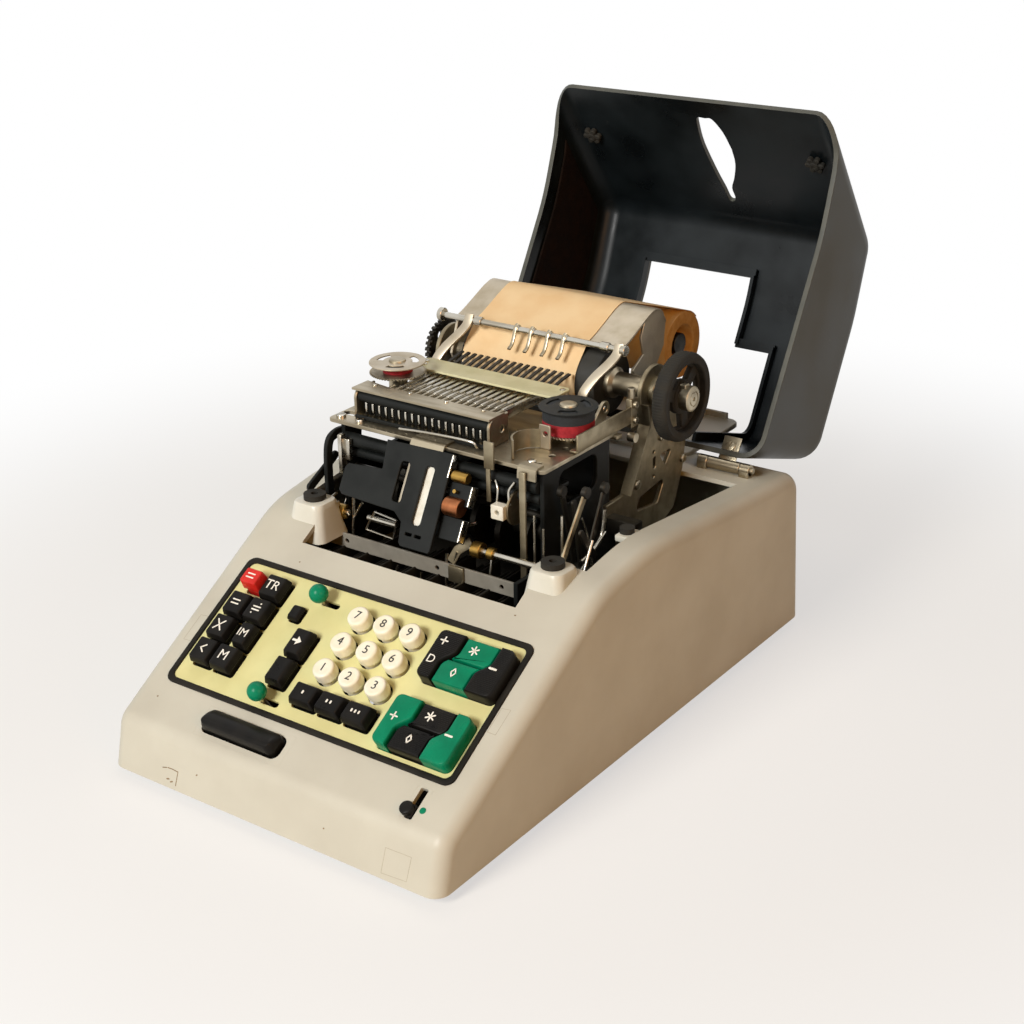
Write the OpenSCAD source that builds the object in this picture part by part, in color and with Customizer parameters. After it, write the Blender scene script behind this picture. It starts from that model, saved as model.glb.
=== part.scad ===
// Printing calculator with a hinged cover, shown with the cover open.
// X runs to the right, Y to the rear and Z up. The origin is under the middle of the whole machine.

/* [Housing] */
// Width of the housing
housing_w = 245; // [236:1:270]
// Depth of the housing at its bottom edge
housing_d = 393; // [385:1:410]
// Height of the front wall
front_h = 28; // [24:1:32]
// How far the front wall leans back
front_lean = 7; // [4:0.5:10]
// Angle of the keyboard slope
slope = 31; // [29:0.5:32]
// How far the bend of the slope lies below the shoulder's highest line
bend_drop = 8.6; // [7.5:0.1:10]
// From that bend back to the shoulder's highest line
crest_run = 55; // [48:1:65]
// Height of the shoulder at its highest
crest_h = 122.5; // [120:0.5:125]
// Height of the rear corner
rear_h = 104; // [100:0.5:106]
// How far the rear wall leans forward
rear_lean = 7; // [4:0.5:10]
// Thickness of the housing wall
wall = 3; // [2.5:0.25:4]
// Radius of the housing's edges
edge_r = 14; // [10:0.5:16]
// Half width of the opening for the mechanism
opening_hw = 104; // [101:0.5:105]
// Front edge of the opening, from the front
opening_front = 133; // [130:0.5:137]
// From the opening's rear edge to the rear edge of the housing
opening_in = 55; // [52:0.5:62]
// Half width of the opening between the two posts
throat_hw = 77; // [70:0.5:79]
// Length of the narrow part of the opening
throat_l = 33; // [30:0.5:38]
// Sideways place of the cover posts
post_x = 89.3; // [88:0.1:90]
// Distance of the cover posts behind the opening's front edge
post_in = 21; // [20:0.5:22]
// Diameter of a post at its top
post_d = 19; // [16:0.5:20]
// Height of a post above the shoulder
post_h = 6.5; // [5:0.25:6.75]
// Height of the rubber pads
pad_h = 3.6; // [2:0.2:3.8]
// Length of the roll tray behind the rear wall
tray_l = 47; // [43:0.5:55]
// Left end of the roll tray
tray_left = -90; // [-91:0.5:-86]
// Right end of the roll tray
tray_right = 50; // [40:0.5:51]
// Thickness of the roll tray
tray_t = 3.5; // [2.5:0.25:4]
// Thickness of the bottom plate
plate_t = 2; // [1.5:0.25:3]
// Height of the rubber feet
foot_h = 6; // [4:0.5:9]
// Diameter of the rubber feet
foot_d = 20; // [14:1:26]

/* [Keyboard] */
// Where the keyboard panel starts, from the front
panel_y = 33; // [31:0.5:34]
// Width of the panel with its trim
panel_w = 213.4; // [211:0.2:217]
// Length of the panel along the slope
panel_l = 94; // [93:0.5:100]
// Thickness of the panel
panel_t = 2.4; // [2:0.2:3]
// Width of the black trim
trim_w = 3.6; // [3:0.2:4.4]
// Height of the trim above the slope
trim_h = 1.4; // [1:0.2:2.4]
// Part of the trim that lies on the housing
trim_lip = 1.8; // [1.2:0.2:2.2]
// Pitch of the number keys
num_pitch = 19; // [18.4:0.1:19.2]
// Diameter of a number key at its skirt
num_d = 16; // [14:0.2:16.4]
// Diameter of a number key at its top
num_top_d = 11.6; // [10:0.2:13]
// Height of a number key
num_h = 11.5; // [9:0.5:14]
// Height of the black and green keys
key_h = 9; // [7:0.5:11]
// How far the keys reach below the panel
key_skirt = 8; // [6:0.5:10]
// How much narrower a key is at its top, each side
key_taper = 1.3; // [0.6:0.1:2]
// Gap between two keys
key_gap = 0.9; // [0.7:0.1:1.2]
// Clearance of a key in the panel
key_clear = 0.5; // [0.4:0.05:0.6]
// Diameter of the balls on the two levers
ball_d = 13; // [10:0.5:13.5]
// Diameter of a lever's stem
stem_d = 3.4; // [2.6:0.2:4]
// Travel of the two ball levers
ball_travel = 9; // [6:0.5:10]
// Length of the clear bar
bar_l = 60; // [50:1:70]
// Width of the clear bar
bar_w = 14; // [11:0.5:15]
// Height of the clear bar
bar_h = 7; // [5:0.5:9]

/* [Cover] */
// How far the cover is open
cover_open = 114.8; // [110:0.2:116]
// From the hinge axis to the rear edge of the housing
hinge_in = 37; // [35:0.5:38]
// Height of the hinge axis above the shoulder
hinge_up = 4.9; // [4.5:0.1:6.5]
// Half width of the cover
cover_hw = 110; // [109:0.5:112]
// Thickness of the cover wall
cover_wall = 3.5; // [2.5:0.25:4]
// Radius of the cover's edges
cover_r = 22; // [18:1:24]
// Foot of the cover's front wall, from the front
cover_front = 124; // [122:0.5:127]
// How far the cover's front wall leans back
brow_run = 64; // [60:0.5:68]
// Height of the cover above the shoulder
cover_rise = 90.5; // [89.5:0.5:94]
// From the top of the front wall to the cover's highest line
top_run = 52; // [42:1:62]
// How far the top of the front wall lies below the highest line
brow_drop = 5; // [2:0.5:7]
// How far the cover's rear wall leans forward
tail_run = 14; // [12:0.5:16]
// How far the top of the rear wall lies below the highest line
tail_drop = 2; // [1:0.25:4]
// From the foot of the cover's rear wall to the hinge axis
cover_in = 7; // [6:0.25:9]
// Gap between the cover's rim and the housing
parting = 0.8; // [0.5:0.1:1.2]
// Left edge of the paper window
window_left = -62; // [-68:0.5:-56]
// Right edge of the paper window
window_right = 25; // [20:0.5:32]
// Length of the narrow part of the paper window
window_l = 51; // [44:0.5:58]
// From the top of the rear wall forward to where the window widens
gate_in = 63; // [61:0.5:69]
// Left edge of the wide part
gate_left = -94; // [-97:0.5:-92]
// Right edge of the wide part
gate_right = 53; // [51.5:0.5:56]
// Height of the sill in the rear wall above the hinge axis
sill_up = 8; // [6:0.5:10]
// Diameter of the hinge pin
pin_d = 4; // [3:0.2:4.6]
// Diameter of the hinge barrel
barrel_d = 8; // [7:0.2:8.6]

/* [Frame] */
// Thickness of the frame plates
frame_t = 3; // [2:0.25:3.5]
// Inner face of the left frame plate
frame_left = -90; // [-91:0.5:-88]
// Inner face of the right frame plate
frame_right = 58; // [57:0.5:60]
// From the deck's front edge to the frame plates
frame_in = 4; // [2:0.5:8]
// Diameter of the cam shaft
cam_d = 12; // [9:0.5:14]
// From the front of the frame plates to the cam shaft
cam_back = 36; // [30:1:40]
// How far the cam shaft lies below the shoulder's highest line
cam_drop = 18.5; // [12.5:0.5:24.5]
// Running clearance of shafts in their bearings, on the diameter
running = 0.5; // [0.4:0.05:0.7]

/* [Printing unit] */
// Height of the deck's underside above the shoulder
deck_rise = 37.5; // [33.5:0.5:38.5]
// Thickness of the deck
deck_t = 2.5; // [2:0.25:3]
// Length of the deck
deck_l = 80; // [78:0.5:83]
// From the deck's rear edge to the platen axis
deck_gap = 41; // [40:0.5:45]
// How far the deck reaches past the left frame plate
deck_over = 6; // [3:0.5:8]
// Number of type bars
type_count = 16; // [10:1:17]
// Pitch of the type bars
type_pitch = 5.2; // [4.4:0.1:5.4]
// Left end of the row of type bars
type_left = -68; // [-69:0.5:-66]
// From the platen axis to the hinge axis
platen_in = 53; // [51.5:0.5:54]
// Height of the platen axis above the deck's underside
platen_up = 15; // [12:0.5:15.5]
// Radius of the platen
platen_r = 21; // [18:0.5:21.5]
// Diameter of the platen shaft
shaft_d = 10; // [8:0.5:12]
// Diameter of the sleeve beside the platen
sleeve_d = 15; // [13:0.5:17]
// Radius of the platen knob
knob_r = 28.5; // [24:0.5:28.5]
// Thickness of the platen knob
knob_t = 16; // [12:0.5:19]
// Left edge of the paper
paper_left = -70; // [-72:0.5:-66]
// Width of the paper
paper_w = 88; // [80:0.5:90]
// Thickness of the paper strip
paper_t = 0.4; // [0.3:0.05:0.6]
// Radius of the paper roll
roll_r = 27; // [20:0.5:29]
// From the hinge axis back to the paper roll axis
roll_back = 57; // [55:0.5:59]
// Height of the paper roll axis above the tray
roll_up = 57.6; // [53.6:0.5:61.6]
// Diameter of the roll's bore
roll_bore = 16; // [13:0.5:20]
// Thickness of the sheet metal of the paper guide
guide_t = 1.6; // [1.2:0.1:2]
// Radius of the ribbon spools
spool_r = 18; // [14:0.5:19]
// Diameter of the bail rod
bail_d = 4; // [3:0.25:5]

/* [Hidden] */
$fn = 48;
hull_fn = 24;
eps = 0.01;
clear = 0.3;
far = 300;
cut = 20;

// Side outline of the housing as [y, z, radius], from the front bottom edge round to the rear one
bend_z = crest_h - bend_drop;
bend_y = front_lean + (bend_z - front_h) / tan(slope);
bend_r = 70;
crest_y = bend_y + crest_run;
crest_r = 160;
rear_y = housing_d - rear_lean;
housing_outline = [[0, 0, 0], [front_lean, front_h, 0], [bend_y, bend_z, bend_r],
    [crest_y, crest_h, crest_r], [rear_y, rear_h, 0], [housing_d, 0, 0]];
// Height of the housing's upper surface at y
function top_z(y) = lookup(y, [for (p = rounded(housing_outline)) if (p[1] > 0) p]);
base_h = foot_h + plate_t;
foot_in = 30;
foot_taper = 4;
plate_in = 2;
vent_pitch = 20;
vent_size = [8, 60];

// The well, with posts, ledges for the side pads and the tray behind the rear wall
opening_rear = housing_d - opening_in;
throat_rear = opening_front + throat_l;
post_y = opening_front + post_in;
post_top = top_z(post_y) + post_h;
post_flare = 12;
post_root = 13;
post_pad_d = post_d - 5;
ledge_in = 9;
ledge_out = 2;
ledge_y = [crest_y + 4, crest_y + 18];
ledge_top = top_z(crest_y + 11) - 0.6;
ledge_t = 4;
side_pad_in = 4.8;
side_pad_d = 9;
tray_root = 22;
tray_corner = 8;
tray_y = [rear_y - tray_root, housing_d + tray_l];
tray_top = top_z(rear_y - tray_root / 2) + 3.3;
tray_rim = [10, 3, 4];

// Power inlet in the rear wall
inlet_x = -60;
inlet_z = 38;
inlet_size = [30, 24];
inlet_recess = [24, 18];
inlet_l = 9;
inlet_floor = 2.5;
inlet_pin_d = 4;
inlet_pin_x = 6;

// Hinge, platen, deck and frame are set out from the rear edge and the shoulder
hinge_y = housing_d - hinge_in;
hinge_z = top_z(hinge_y) + hinge_up;
hinge_at = [hinge_y, hinge_z];
deck_z = crest_h + deck_rise;
platen_y = hinge_y - platen_in;
platen_z = deck_z + platen_up;
deck_rear = platen_y - deck_gap;
deck_front = deck_rear - deck_l;
frame_front = deck_front + frame_in;
cam_y = frame_front + cam_back;
cam_z = crest_h - cam_drop;
roll_y = hinge_y + roll_back;
roll_z = tray_top + roll_up;

// Motor in the bottom of the well
motor_at = [frame_front + 62, 40];
motor_x = [-64, 14];
motor_d = 62;
motor_cap = [6, 40];
motor_output = [12, 14];
cradle_in = 8;
cradle_hw = 22;
cradle_h = 28;

// Side outline of the closed cover, from the foot of the front wall to the foot of the rear wall
cover_sink = 26;
brow_y = cover_front + brow_run;
top_y = brow_y + top_run;
top_h = crest_h + cover_rise;
brow_h = top_h - brow_drop;
tail_h = top_h - tail_drop;
cover_rear = hinge_y - cover_in;
tail_y = cover_rear - tail_run;
front_run = (brow_y - cover_front) / (brow_h - top_z(cover_front));
rear_run = (cover_rear - tail_y) / (tail_h - top_z(cover_rear));
cover_outline = [[cover_front - front_run * cover_sink, top_z(cover_front) - cover_sink, 0],
    [brow_y, brow_h, 0], [top_y, top_h, crest_r], [tail_y, tail_h, 0],
    [cover_rear + rear_run * cover_sink, top_z(cover_rear) - cover_sink, 0]];
window_step = tail_y - gate_in;
window_front = window_step - window_l;
window_floor = hinge_z + 30;
gate_sill = hinge_z + sill_up;
gate_rear = hinge_y + 20;
leaf_x = 18;
leaf_up = 32;
leaf_l = 56;
leaf_w = 16;
leaf_bow = 44;
star_x = post_x - 7.3;
star_up = 30;
star_size = [11, 3.5];
star_r = 1.5;
star_t = 2;
hinge_x = [66, 73, 97, 104];
hinge_leaf = 20;
hinge_foot = 10;

// The keyboard lies on the slope: x across, s up the slope and n square to it
panel_z = front_h + (panel_y - front_lean) * tan(slope);
panel_r = 5;
num_x = -4.5;
num_s = 37;
num_row = num_pitch - 0.4;
num_rim = 1.5;
num_edge = 1.6;
num_dish = 0.6;
zero_s = 18.3;
zero_pitch = 20;
zero_l = 16.6;
zero_shift = 2;
function_x = [-91.8, -70.6];
function_w = [18.4, 21.2];
function_s = 23.8;
function_pitch = 17.4;
memory_in_step = 5;
red_rise = 3;
arrow_x = -31;
arrow_s = 47.6;
arrow_pitch = 20.6;
arrow_w = 17;
small_x = -48.8;
small_s = 64.7;
small_w = 10;
small_l = 9;
small_h = 5;
key_r = 2.5;
key_brow = 1;
hole_r = 3;
cluster_x = 73.6;
cluster_w = 56;
cluster_l = 35;
cluster_s = [23, 66.6];
cluster_side = 17.5;
cluster_swing = 3;
cluster_r = 4;
cluster_drop = 1;
ball_s = [9.4, 79.4];
ball_x = [-34, -37.4];
ball_n = 9.6;
stem_below = 12;
bar_x = -31.6;
bar_s = -14;
bar_r = 5;
bar_crown = [4, 6, 3];
slot_x = housing_w / 2 - 29.5;
slot_s = -14.5;
slot_l = 19;
slot_w = 4;
slot_r = 1;
lever_travel = 10;
lever_d = 8;
lever_shift = 2.2;
lever_h = 3.6;
tongue_n = [-10, 1.2];

// The frame that carries the printing unit
frame_rear = platen_y + 8;
frame_step = deck_rear - 6;
frame_low = crest_h - 26.5;
nose_y = opening_front + 25;
nose_z = [crest_h - 42.5, crest_h - 22.5];
frame_window = [34, 44];
frame_window_z = 42;
upper_window = [40, 24];
upper_window_z = cam_z + 32;
window_r = 6;
bracket_foot = crest_h - 44.5;
bracket_front = 44;
bracket_heel = [36, -38];
bracket_head = 17;
bracket_chin = 62;
bracket_slots = [[-10, -42, 26], [-26, -74, 16]];
bracket_slot_w = 9;
bracket_slot_r = 4;
rods = [[frame_front + 8, deck_z - 32, 5], [frame_front + 14, cam_z - 40, 7],
    [deck_rear - 16, cam_z + 14, 6], [deck_rear - 10, cam_z - 20, 6]];
cross_bar_y = [nose_y + 2, nose_y + 4];
cross_bar_z = [nose_z[0] + 2, nose_z[1] - 4];
link_x = [66, 71, 76, 81, 86];
link_y = [10, 28, 15, 40, 22];
link_t = 2;
link_w = 5;
link_foot = [8, 30];
link_top = [deck_z - 12, 4];
link_at = [frame_front + 22, crest_h - 30.5];
link_rod_d = 7;
link_rod_end = 94;
link_boss = [4, 6];
cam_x = [-74, -58, -40, -22, -6, 12, 30, 44];
cam_w = 4;
cam_lobe_d = 34;
cam_lift = 4;
cam_step = 45;

// The printing unit
paper_right = paper_left + paper_w;
deck_left = frame_left - frame_t - deck_over;
deck_right = frame_right + frame_t;
deck_top = deck_z + deck_t;
deck_holes = 9;
deck_hole_d = 4;
deck_hole_pitch = 7;
deck_hole_at = [deck_right - 8, deck_front + 9];
deck_slot_x = [type_left + 8, type_left + 56];
deck_slot_y = [deck_front + 30, deck_rear - 14];
type_w = 3;
type_z = deck_top + 10;
type_h = 7;
type_front = deck_front + 22;
type_rear = deck_rear - 6;
type_span = type_count * type_pitch;
comb_x = [type_left - 4, type_left + type_span + 2];
comb_h = type_z + type_h - deck_top - 2;
comb_l = 6;
comb_y = [type_front - 14, type_rear - 16];
comb_cut_y = [type_front - 2, deck_rear];
bail_pivot = [deck_rear + 4, deck_top + 9.5];
bail_rod = [platen_y - 15, platen_z + 28];
bail_left = frame_left;
bail_right = 49;
bail_t = 2;
bail_w = 8;
bail_pin_d = 4;
bail_path = [bail_pivot - [2, 3], bail_pivot + [0, 6], bail_rod - [6, 10], bail_rod + [1, 3]];
ear_y = [bail_pivot[0] - 18, bail_pivot[0] - 4];
ear_r = 5;
finger_x = [-31, -19, -6, 6];
finger_w = 2.4;
finger_t = 1.4;
finger_path = [bail_rod, bail_rod + [-5, -2], bail_rod + [-6.5, -9], bail_rod + [-5.5, -14]];
scale_x = [frame_left + 4, 26];
scale_w = 11;
scale_t = 1.5;
scale_front = deck_rear - 5;
scale_z = type_z + type_h + 1;
scale_post = 4;
spool_x = [-80, 46];
spool_y = [deck_rear - 34, deck_rear - 28];
spool_lift = [20, 5];
spool_h = [7.5, 16];
spool_pin_d = 5;
spool_boss_d = 12;
flange_t = 1.2;
ribbon_r = spool_r - 2.5;
indicator_l = 60;
indicator_top = 4;
indicator_t = 2;
indicator_angle = 61;
indicator_x = [-58, 38];
indicator_r = 4;
indicator_slots = [-24, -7];
indicator_slot = [7, 30];
strip_size = [16, 40];
strip_t = 1;
strip_r = 2;

// Platen, paper guide, paper and roll
platen_at = [platen_y, platen_z];
platen_x = [paper_left - 2, paper_right + 4];
sleeve_end = frame_right - 2;
wheel_r = 19;
wheel_t = 5;
wheel_x = [frame_left - 2 * frame_t - 3 - wheel_t, frame_left - 2 * frame_t - 3];
wheel_teeth = 24;
wheel_notch = [2.4, 1];
knob_x = [72, 72 + knob_t];
knob_ribs = 40;
knob_groove = [0.8, 0.7];
knob_rim = 7;
knob_dish = 4;
knob_holes = 3;
knob_hole_d = 8;
knob_hole_r = 13.5;
hub_d = 16;
hub_l = 7;
guide_x = [frame_left + 4, 43];
guide_lip = [platen_y - 11.5, platen_z + platen_r + 2.8];
guide_crest = [platen_y + 33, platen_z + 40];
guide_tail = [platen_y + 51, platen_z + 20];
guide_bend = 9;
cheek_t = 2;
cheek_heel = [10, -8];
cheek_toe = [-8, -8];
cheek_front = [-14, 2];
cheek_clear = 4;
tie_d = 6;
tie = [platen_y + 12, platen_z - 26];
roll_at = [roll_y, roll_z];
spindle_d = roll_bore - running;
spindle_x = [paper_left - 12, paper_right - 2];
arm_t = 3;
arm_hw = 14;
arm_r = 11;

function unit(v) = v / norm(v);
function turn(v) = [-v[1], v[0]];
function xy(p) = [p[0], p[1]];
function steps(s0, s1, n) = [for (i = [0:n]) s0 + (s1 - s0) * i / n];
function arc(middle, r, a0, a1, n) = [for (a = steps(a0, a1, n)) middle + r * [cos(a), sin(a)]];
function moved(pts, d) = [for (p = pts) p + d];
// Ends along X of a piece that lies from a to b on the right, or as far out on the left
function ends(side, a, b) = side > 0 ? [a, b] : [-b, -a];
// Points of an arc of radius r that rounds the corner b between a and c
function corner(a, b, c, r, n) =
    let (u = unit(a - b), v = unit(c - b), half = acos(u * v) / 2,
        middle = b + unit(u + v) * r / sin(half),
        from = b + u * r / tan(half) - middle, to = b + v * r / tan(half) - middle,
        start = atan2(from[1], from[0]), end = atan2(to[1], to[0]),
        sweep = (end - start + 540) % 360 - 180)
    arc(middle, r, start, start + sweep, n);
// Outline with its corners rounded where they have a radius
function rounded(pts, n = 3) = let (last = len(pts) - 1)
    [for (i = [0:last]) let (p = pts[i])
        each p[2] == 0 ? [xy(p)]
            : corner(xy(pts[i == 0 ? last : i - 1]), xy(p), xy(pts[i == last ? 0 : i + 1]), p[2], n)];
// Outline moved inwards by d, for points that run clockwise
function inset(pts, d) = let (last = len(pts) - 1)
    [for (i = [0:last]) let (a = pts[i == 0 ? last : i - 1], b = pts[i], c = pts[i == last ? 0 : i + 1],
        m = -turn(unit(b - a)), k = -turn(unit(c - b))) b + (m + k) * d / (1 + m * k)];
// Points of the same path moved to its left by d
function lifted(path, d) = let (last = len(path) - 1)
    [for (i = [0:last]) path[i] + turn(unit(path[min(i + 1, last)] - path[max(i - 1, 0)])) * d];
// Band of thickness t along an open path
function band(path, t) = let (left = lifted(path, t / 2), right = lifted(path, -t / 2))
    concat(left, [for (i = [len(path) - 1:-1:0]) right[i]]);
function oblong(w, l, r) = let (x = w / 2, y = l / 2)
    rounded([[-x, -y, r], [x, -y, r], [x, y, r], [-x, y, r]], 4);
// Angle at which a line from a point touches a circle, on the side that is given
function touch(point, centre, r, side) = let (v = point - centre)
    atan2(v[1], v[0]) + side * acos(r / norm(v));

housing_centres = inset(rounded(housing_outline), edge_r);
cover_centres = inset(rounded(cover_outline), cover_r);
overall_d = hinge_y + cover_r + max([for (p = cover_centres)
    (p[0] - hinge_y) * cos(cover_open) + (p[1] - hinge_z) * sin(cover_open)]);

module place() translate([0, -overall_d / 2, base_h]) children();
module on_slope() translate([0, panel_y, panel_z]) rotate([slope, 0, 0]) children();
module panel_frame() place() on_slope() children();
module opened() place() translate([0, hinge_y, hinge_z]) rotate([-cover_open, 0, 0])
    translate([0, -hinge_y, -hinge_z]) children();
// Frame on the front wall of the closed cover, at a height above its foot
module on_front_wall(x, up) translate([x, cover_front + front_run * up, top_z(cover_front) + up])
    rotate([atan2(1, front_run), 0, 0]) children();
// Copies spread evenly round an axis along X
module around(at, n) for (i = [0:n - 1]) translate([0, at[0], at[1]]) rotate([i * 360 / n, 0, 0]) children();
// Side outline in Y and Z, carried along X
module across(x, pts) translate([x[0], 0, 0]) rotate([90, 0, 90]) linear_extrude(x[1] - x[0]) polygon(pts);
module rod(x, at, d) translate([x[0], at[0], at[1]]) rotate([0, 90, 0]) cylinder(d = d, h = x[1] - x[0]);
module bore(at, d) rod([-far, far], at, d);
module block(x, y, z) translate([x[0], y[0], z[0]]) cube([x[1] - x[0], y[1] - y[0], z[1] - z[0]]);
module prism(pts, z0, z1) translate([0, 0, z0]) linear_extrude(z1 - z0) polygon(pts);
// Hollow-body solid: spheres at the inset corners of a side outline, on both sides
module rounded_body(centres, half, r) hull() for (side = [-1, 1], p = centres)
    translate([side * half, p[0], p[1]]) sphere(r, $fn = hull_fn);

// The leaning front and rear walls run on below the bottom edge, where the block cuts them off
module housing_solid(r) intersection() {
    front_foot = housing_centres[0] - [front_lean / front_h, 1] * 2 * edge_r;
    rear_foot = housing_centres[len(housing_centres) - 1] + [rear_lean / rear_h, -1] * 2 * edge_r;
    rounded_body(concat(housing_centres, [front_foot, rear_foot]), housing_w / 2 - edge_r, r);
    block([-far, far], [-far, 2 * far], [0, far]);
}
// Everything under the housing's upper surface, raised by d
module under_housing(d) across([-far, far], concat(
    [for (p = rounded(housing_outline)) [p[0], p[1] + d]], [[housing_d, -far], [0, -far]]));

module housing_openings() {
    block([-opening_hw, opening_hw], [throat_rear, opening_rear], [0, far]);
    block([-throat_hw, throat_hw], [opening_front, throat_rear + eps], [0, far]);
    on_slope() {
        translate([0, panel_l / 2, 0])
            prism(oblong(panel_w - 2 * trim_lip, panel_l - 2 * trim_lip, panel_r), -cut, cut);
        translate([bar_x, bar_s, 0])
            prism(oblong(bar_l + 2 * key_clear, bar_w + 2 * key_clear, bar_r), -cut, cut);
        translate([slot_x, slot_s, 0]) prism(oblong(slot_w + 2 * key_clear, slot_l, slot_r), -cut, cut);
    }
}

module base_housing() color("#cdc5b0") place() {
    difference() {
        housing_solid(edge_r);
        translate([0, 0, -eps]) housing_solid(edge_r - wall);
        housing_openings();
    }
    for (side = [-1, 1]) {
        translate([side * post_x, post_y, top_z(post_y) - post_root])
            cylinder(d1 = post_d + post_flare, d2 = post_d, h = post_top - top_z(post_y) + post_root);
        block(ends(side, opening_hw - ledge_in, opening_hw + ledge_out), ledge_y,
            [ledge_top - ledge_t, ledge_top]);
    }
    translate([(tray_left + tray_right) / 2, (tray_y[0] + tray_y[1]) / 2, 0])
        prism(oblong(tray_right - tray_left, tray_y[1] - tray_y[0], tray_corner),
            tray_top - tray_t, tray_top);
    block([tray_left + tray_rim[0], tray_right - tray_rim[0]], [tray_y[1] - tray_rim[1], tray_y[1]],
        [tray_top - tray_t / 2, tray_top + tray_rim[2]]);
}

module bottom_plate() color("#4a4a48") place() difference() {
    translate([0, housing_d / 2, 0])
        prism(oblong(housing_w - 2 * plate_in, housing_d - 2 * plate_in, edge_r), -plate_t, 0);
    for (i = [-2:2]) translate([i * vent_pitch, housing_d / 3, 0])
        prism(oblong(vent_size[0], vent_size[1], hole_r), -far, far);
}

module rubber_feet_and_pads() color("#1e1e1d") place() {
    for (side = [-1, 1], y = [foot_in, housing_d - foot_in])
        translate([side * (housing_w / 2 - foot_in), y, -base_h])
            cylinder(d1 = foot_d - foot_taper, d2 = foot_d, h = foot_h);
    for (side = [-1, 1]) {
        translate([side * post_x, post_y, post_top]) difference() {
            cylinder(d = post_pad_d, h = pad_h);
            translate([0, 0, pad_h / 2]) cylinder(d = post_pad_d / 3, h = pad_h);
        }
        translate([side * (opening_hw - side_pad_in), (ledge_y[0] + ledge_y[1]) / 2, ledge_top])
            cylinder(d = side_pad_d, h = pad_h);
    }
}

module power_inlet() color("#161616") place() translate([inlet_x, housing_d, 0])
    rotate([atan(rear_lean / rear_h), 0, 0]) translate([0, 0, inlet_z]) rotate([-90, 0, 0]) {
        difference() {
            prism(oblong(inlet_size[0], inlet_size[1], 4), 0, inlet_l);
            prism(oblong(inlet_recess[0], inlet_recess[1], 3), inlet_floor, inlet_l + 1);
        }
        for (side = [-1, 1]) translate([side * inlet_pin_x, 0, inlet_floor - eps])
            cylinder(d = inlet_pin_d, h = inlet_l - inlet_floor - 0.5);
    }

module motor() color("#5a5d5c") place() {
    rod(motor_x, motor_at, motor_d);
    rod([motor_x[0] - motor_cap[0], motor_x[0]], motor_at, motor_cap[1]);
    rod([motor_x[1], motor_x[1] + motor_output[0]], motor_at, motor_output[1]);
    difference() {
        block([motor_x[0] + cradle_in, motor_x[1] - cradle_in],
            [motor_at[0] - cradle_hw, motor_at[0] + cradle_hw], [0, cradle_h]);
        rod(motor_x, motor_at, motor_d);
    }
}

function number_x(d) = num_x + ((d - 1) % 3) * num_pitch;
function number_s(d) = num_s + floor((d - 1) / 3) * num_row;
function zero_w() = zero_pitch - key_gap;
function zero_x(i) = num_x - zero_shift + i * zero_pitch;
// Place and width of a function key: the second key up on the right is narrower
function function_at(column, row) = let (narrow = column == 1 && row == 1 ? memory_in_step : 0)
    [function_x[column] + narrow / 2, function_s + row * function_pitch, function_w[column] - narrow];

module key_hole(x, s, w, l) translate([x, s, 0])
    prism(oblong(w + 2 * key_clear, l + 2 * key_clear, hole_r), -cut, cut);

module keyboard_panel() color("#ece2a4") panel_frame() difference() {
    margin = 2 * (trim_lip + clear);
    translate([0, panel_l / 2, 0]) prism(oblong(panel_w - margin, panel_l - margin, panel_r), -panel_t, 0);
    for (d = [1:9]) translate([number_x(d), number_s(d), -cut])
        cylinder(d = num_d + 2 * key_clear, h = 2 * cut);
    for (i = [0:2]) key_hole(zero_x(i), zero_s, zero_w(), zero_l);
    for (column = [0:1], row = [0:3]) {
        at = function_at(column, row);
        key_hole(at[0], at[1], at[2], function_pitch - key_gap);
    }
    key_hole(small_x, small_s, small_w, small_l);
    for (row = [0:1]) key_hole(arrow_x, arrow_s - row * arrow_pitch, arrow_w, arrow_pitch - key_gap);
    for (s = cluster_s) key_hole(cluster_x, s, cluster_w, cluster_l);
    for (i = [0:1]) translate([ball_x[i] + ball_travel / 2, ball_s[i], 0])
        prism(oblong(stem_d + 2 * key_clear + ball_travel, stem_d + 2 * key_clear, 1.5), -cut, cut);
}

module panel_trim() color("#22211f") panel_frame() translate([0, panel_l / 2, 0]) difference() {
    prism(oblong(panel_w, panel_l, panel_r + 1), 0, trim_h);
    prism(oblong(panel_w - 2 * trim_w, panel_l - 2 * trim_w, panel_r - 1), -1, trim_h + 1);
}

module number_key(d) color("#f1ead8") panel_frame() translate([number_x(d), number_s(d), 0])
    rotate_extrude() polygon(concat([[0, -key_skirt], [num_d / 2, -key_skirt], [num_d / 2, num_rim]],
        corner([num_d / 2, num_rim], [num_top_d / 2, num_h], [0, num_h], num_edge, 4),
        [[0, num_h - num_dish]]));

module box_key(x, s, w, l, h, tint) color(tint) panel_frame() translate([x, s, 0]) {
    prism(oblong(w, l, key_r), -key_skirt, 0);
    hull() {
        prism(oblong(w, l, key_r), 0, h / 3);
        prism(oblong(w - 2 * key_taper, l - 2 * key_taper, key_r), h - key_brow, h);
    }
}

module function_key(column, row, tint, h) {
    at = function_at(column, row);
    box_key(at[0], at[1], at[2], function_pitch - key_gap, h, tint);
}

module zero_key(i) box_key(zero_x(i), zero_s, zero_w(), zero_l, key_h, "#1b1b1a");

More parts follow.
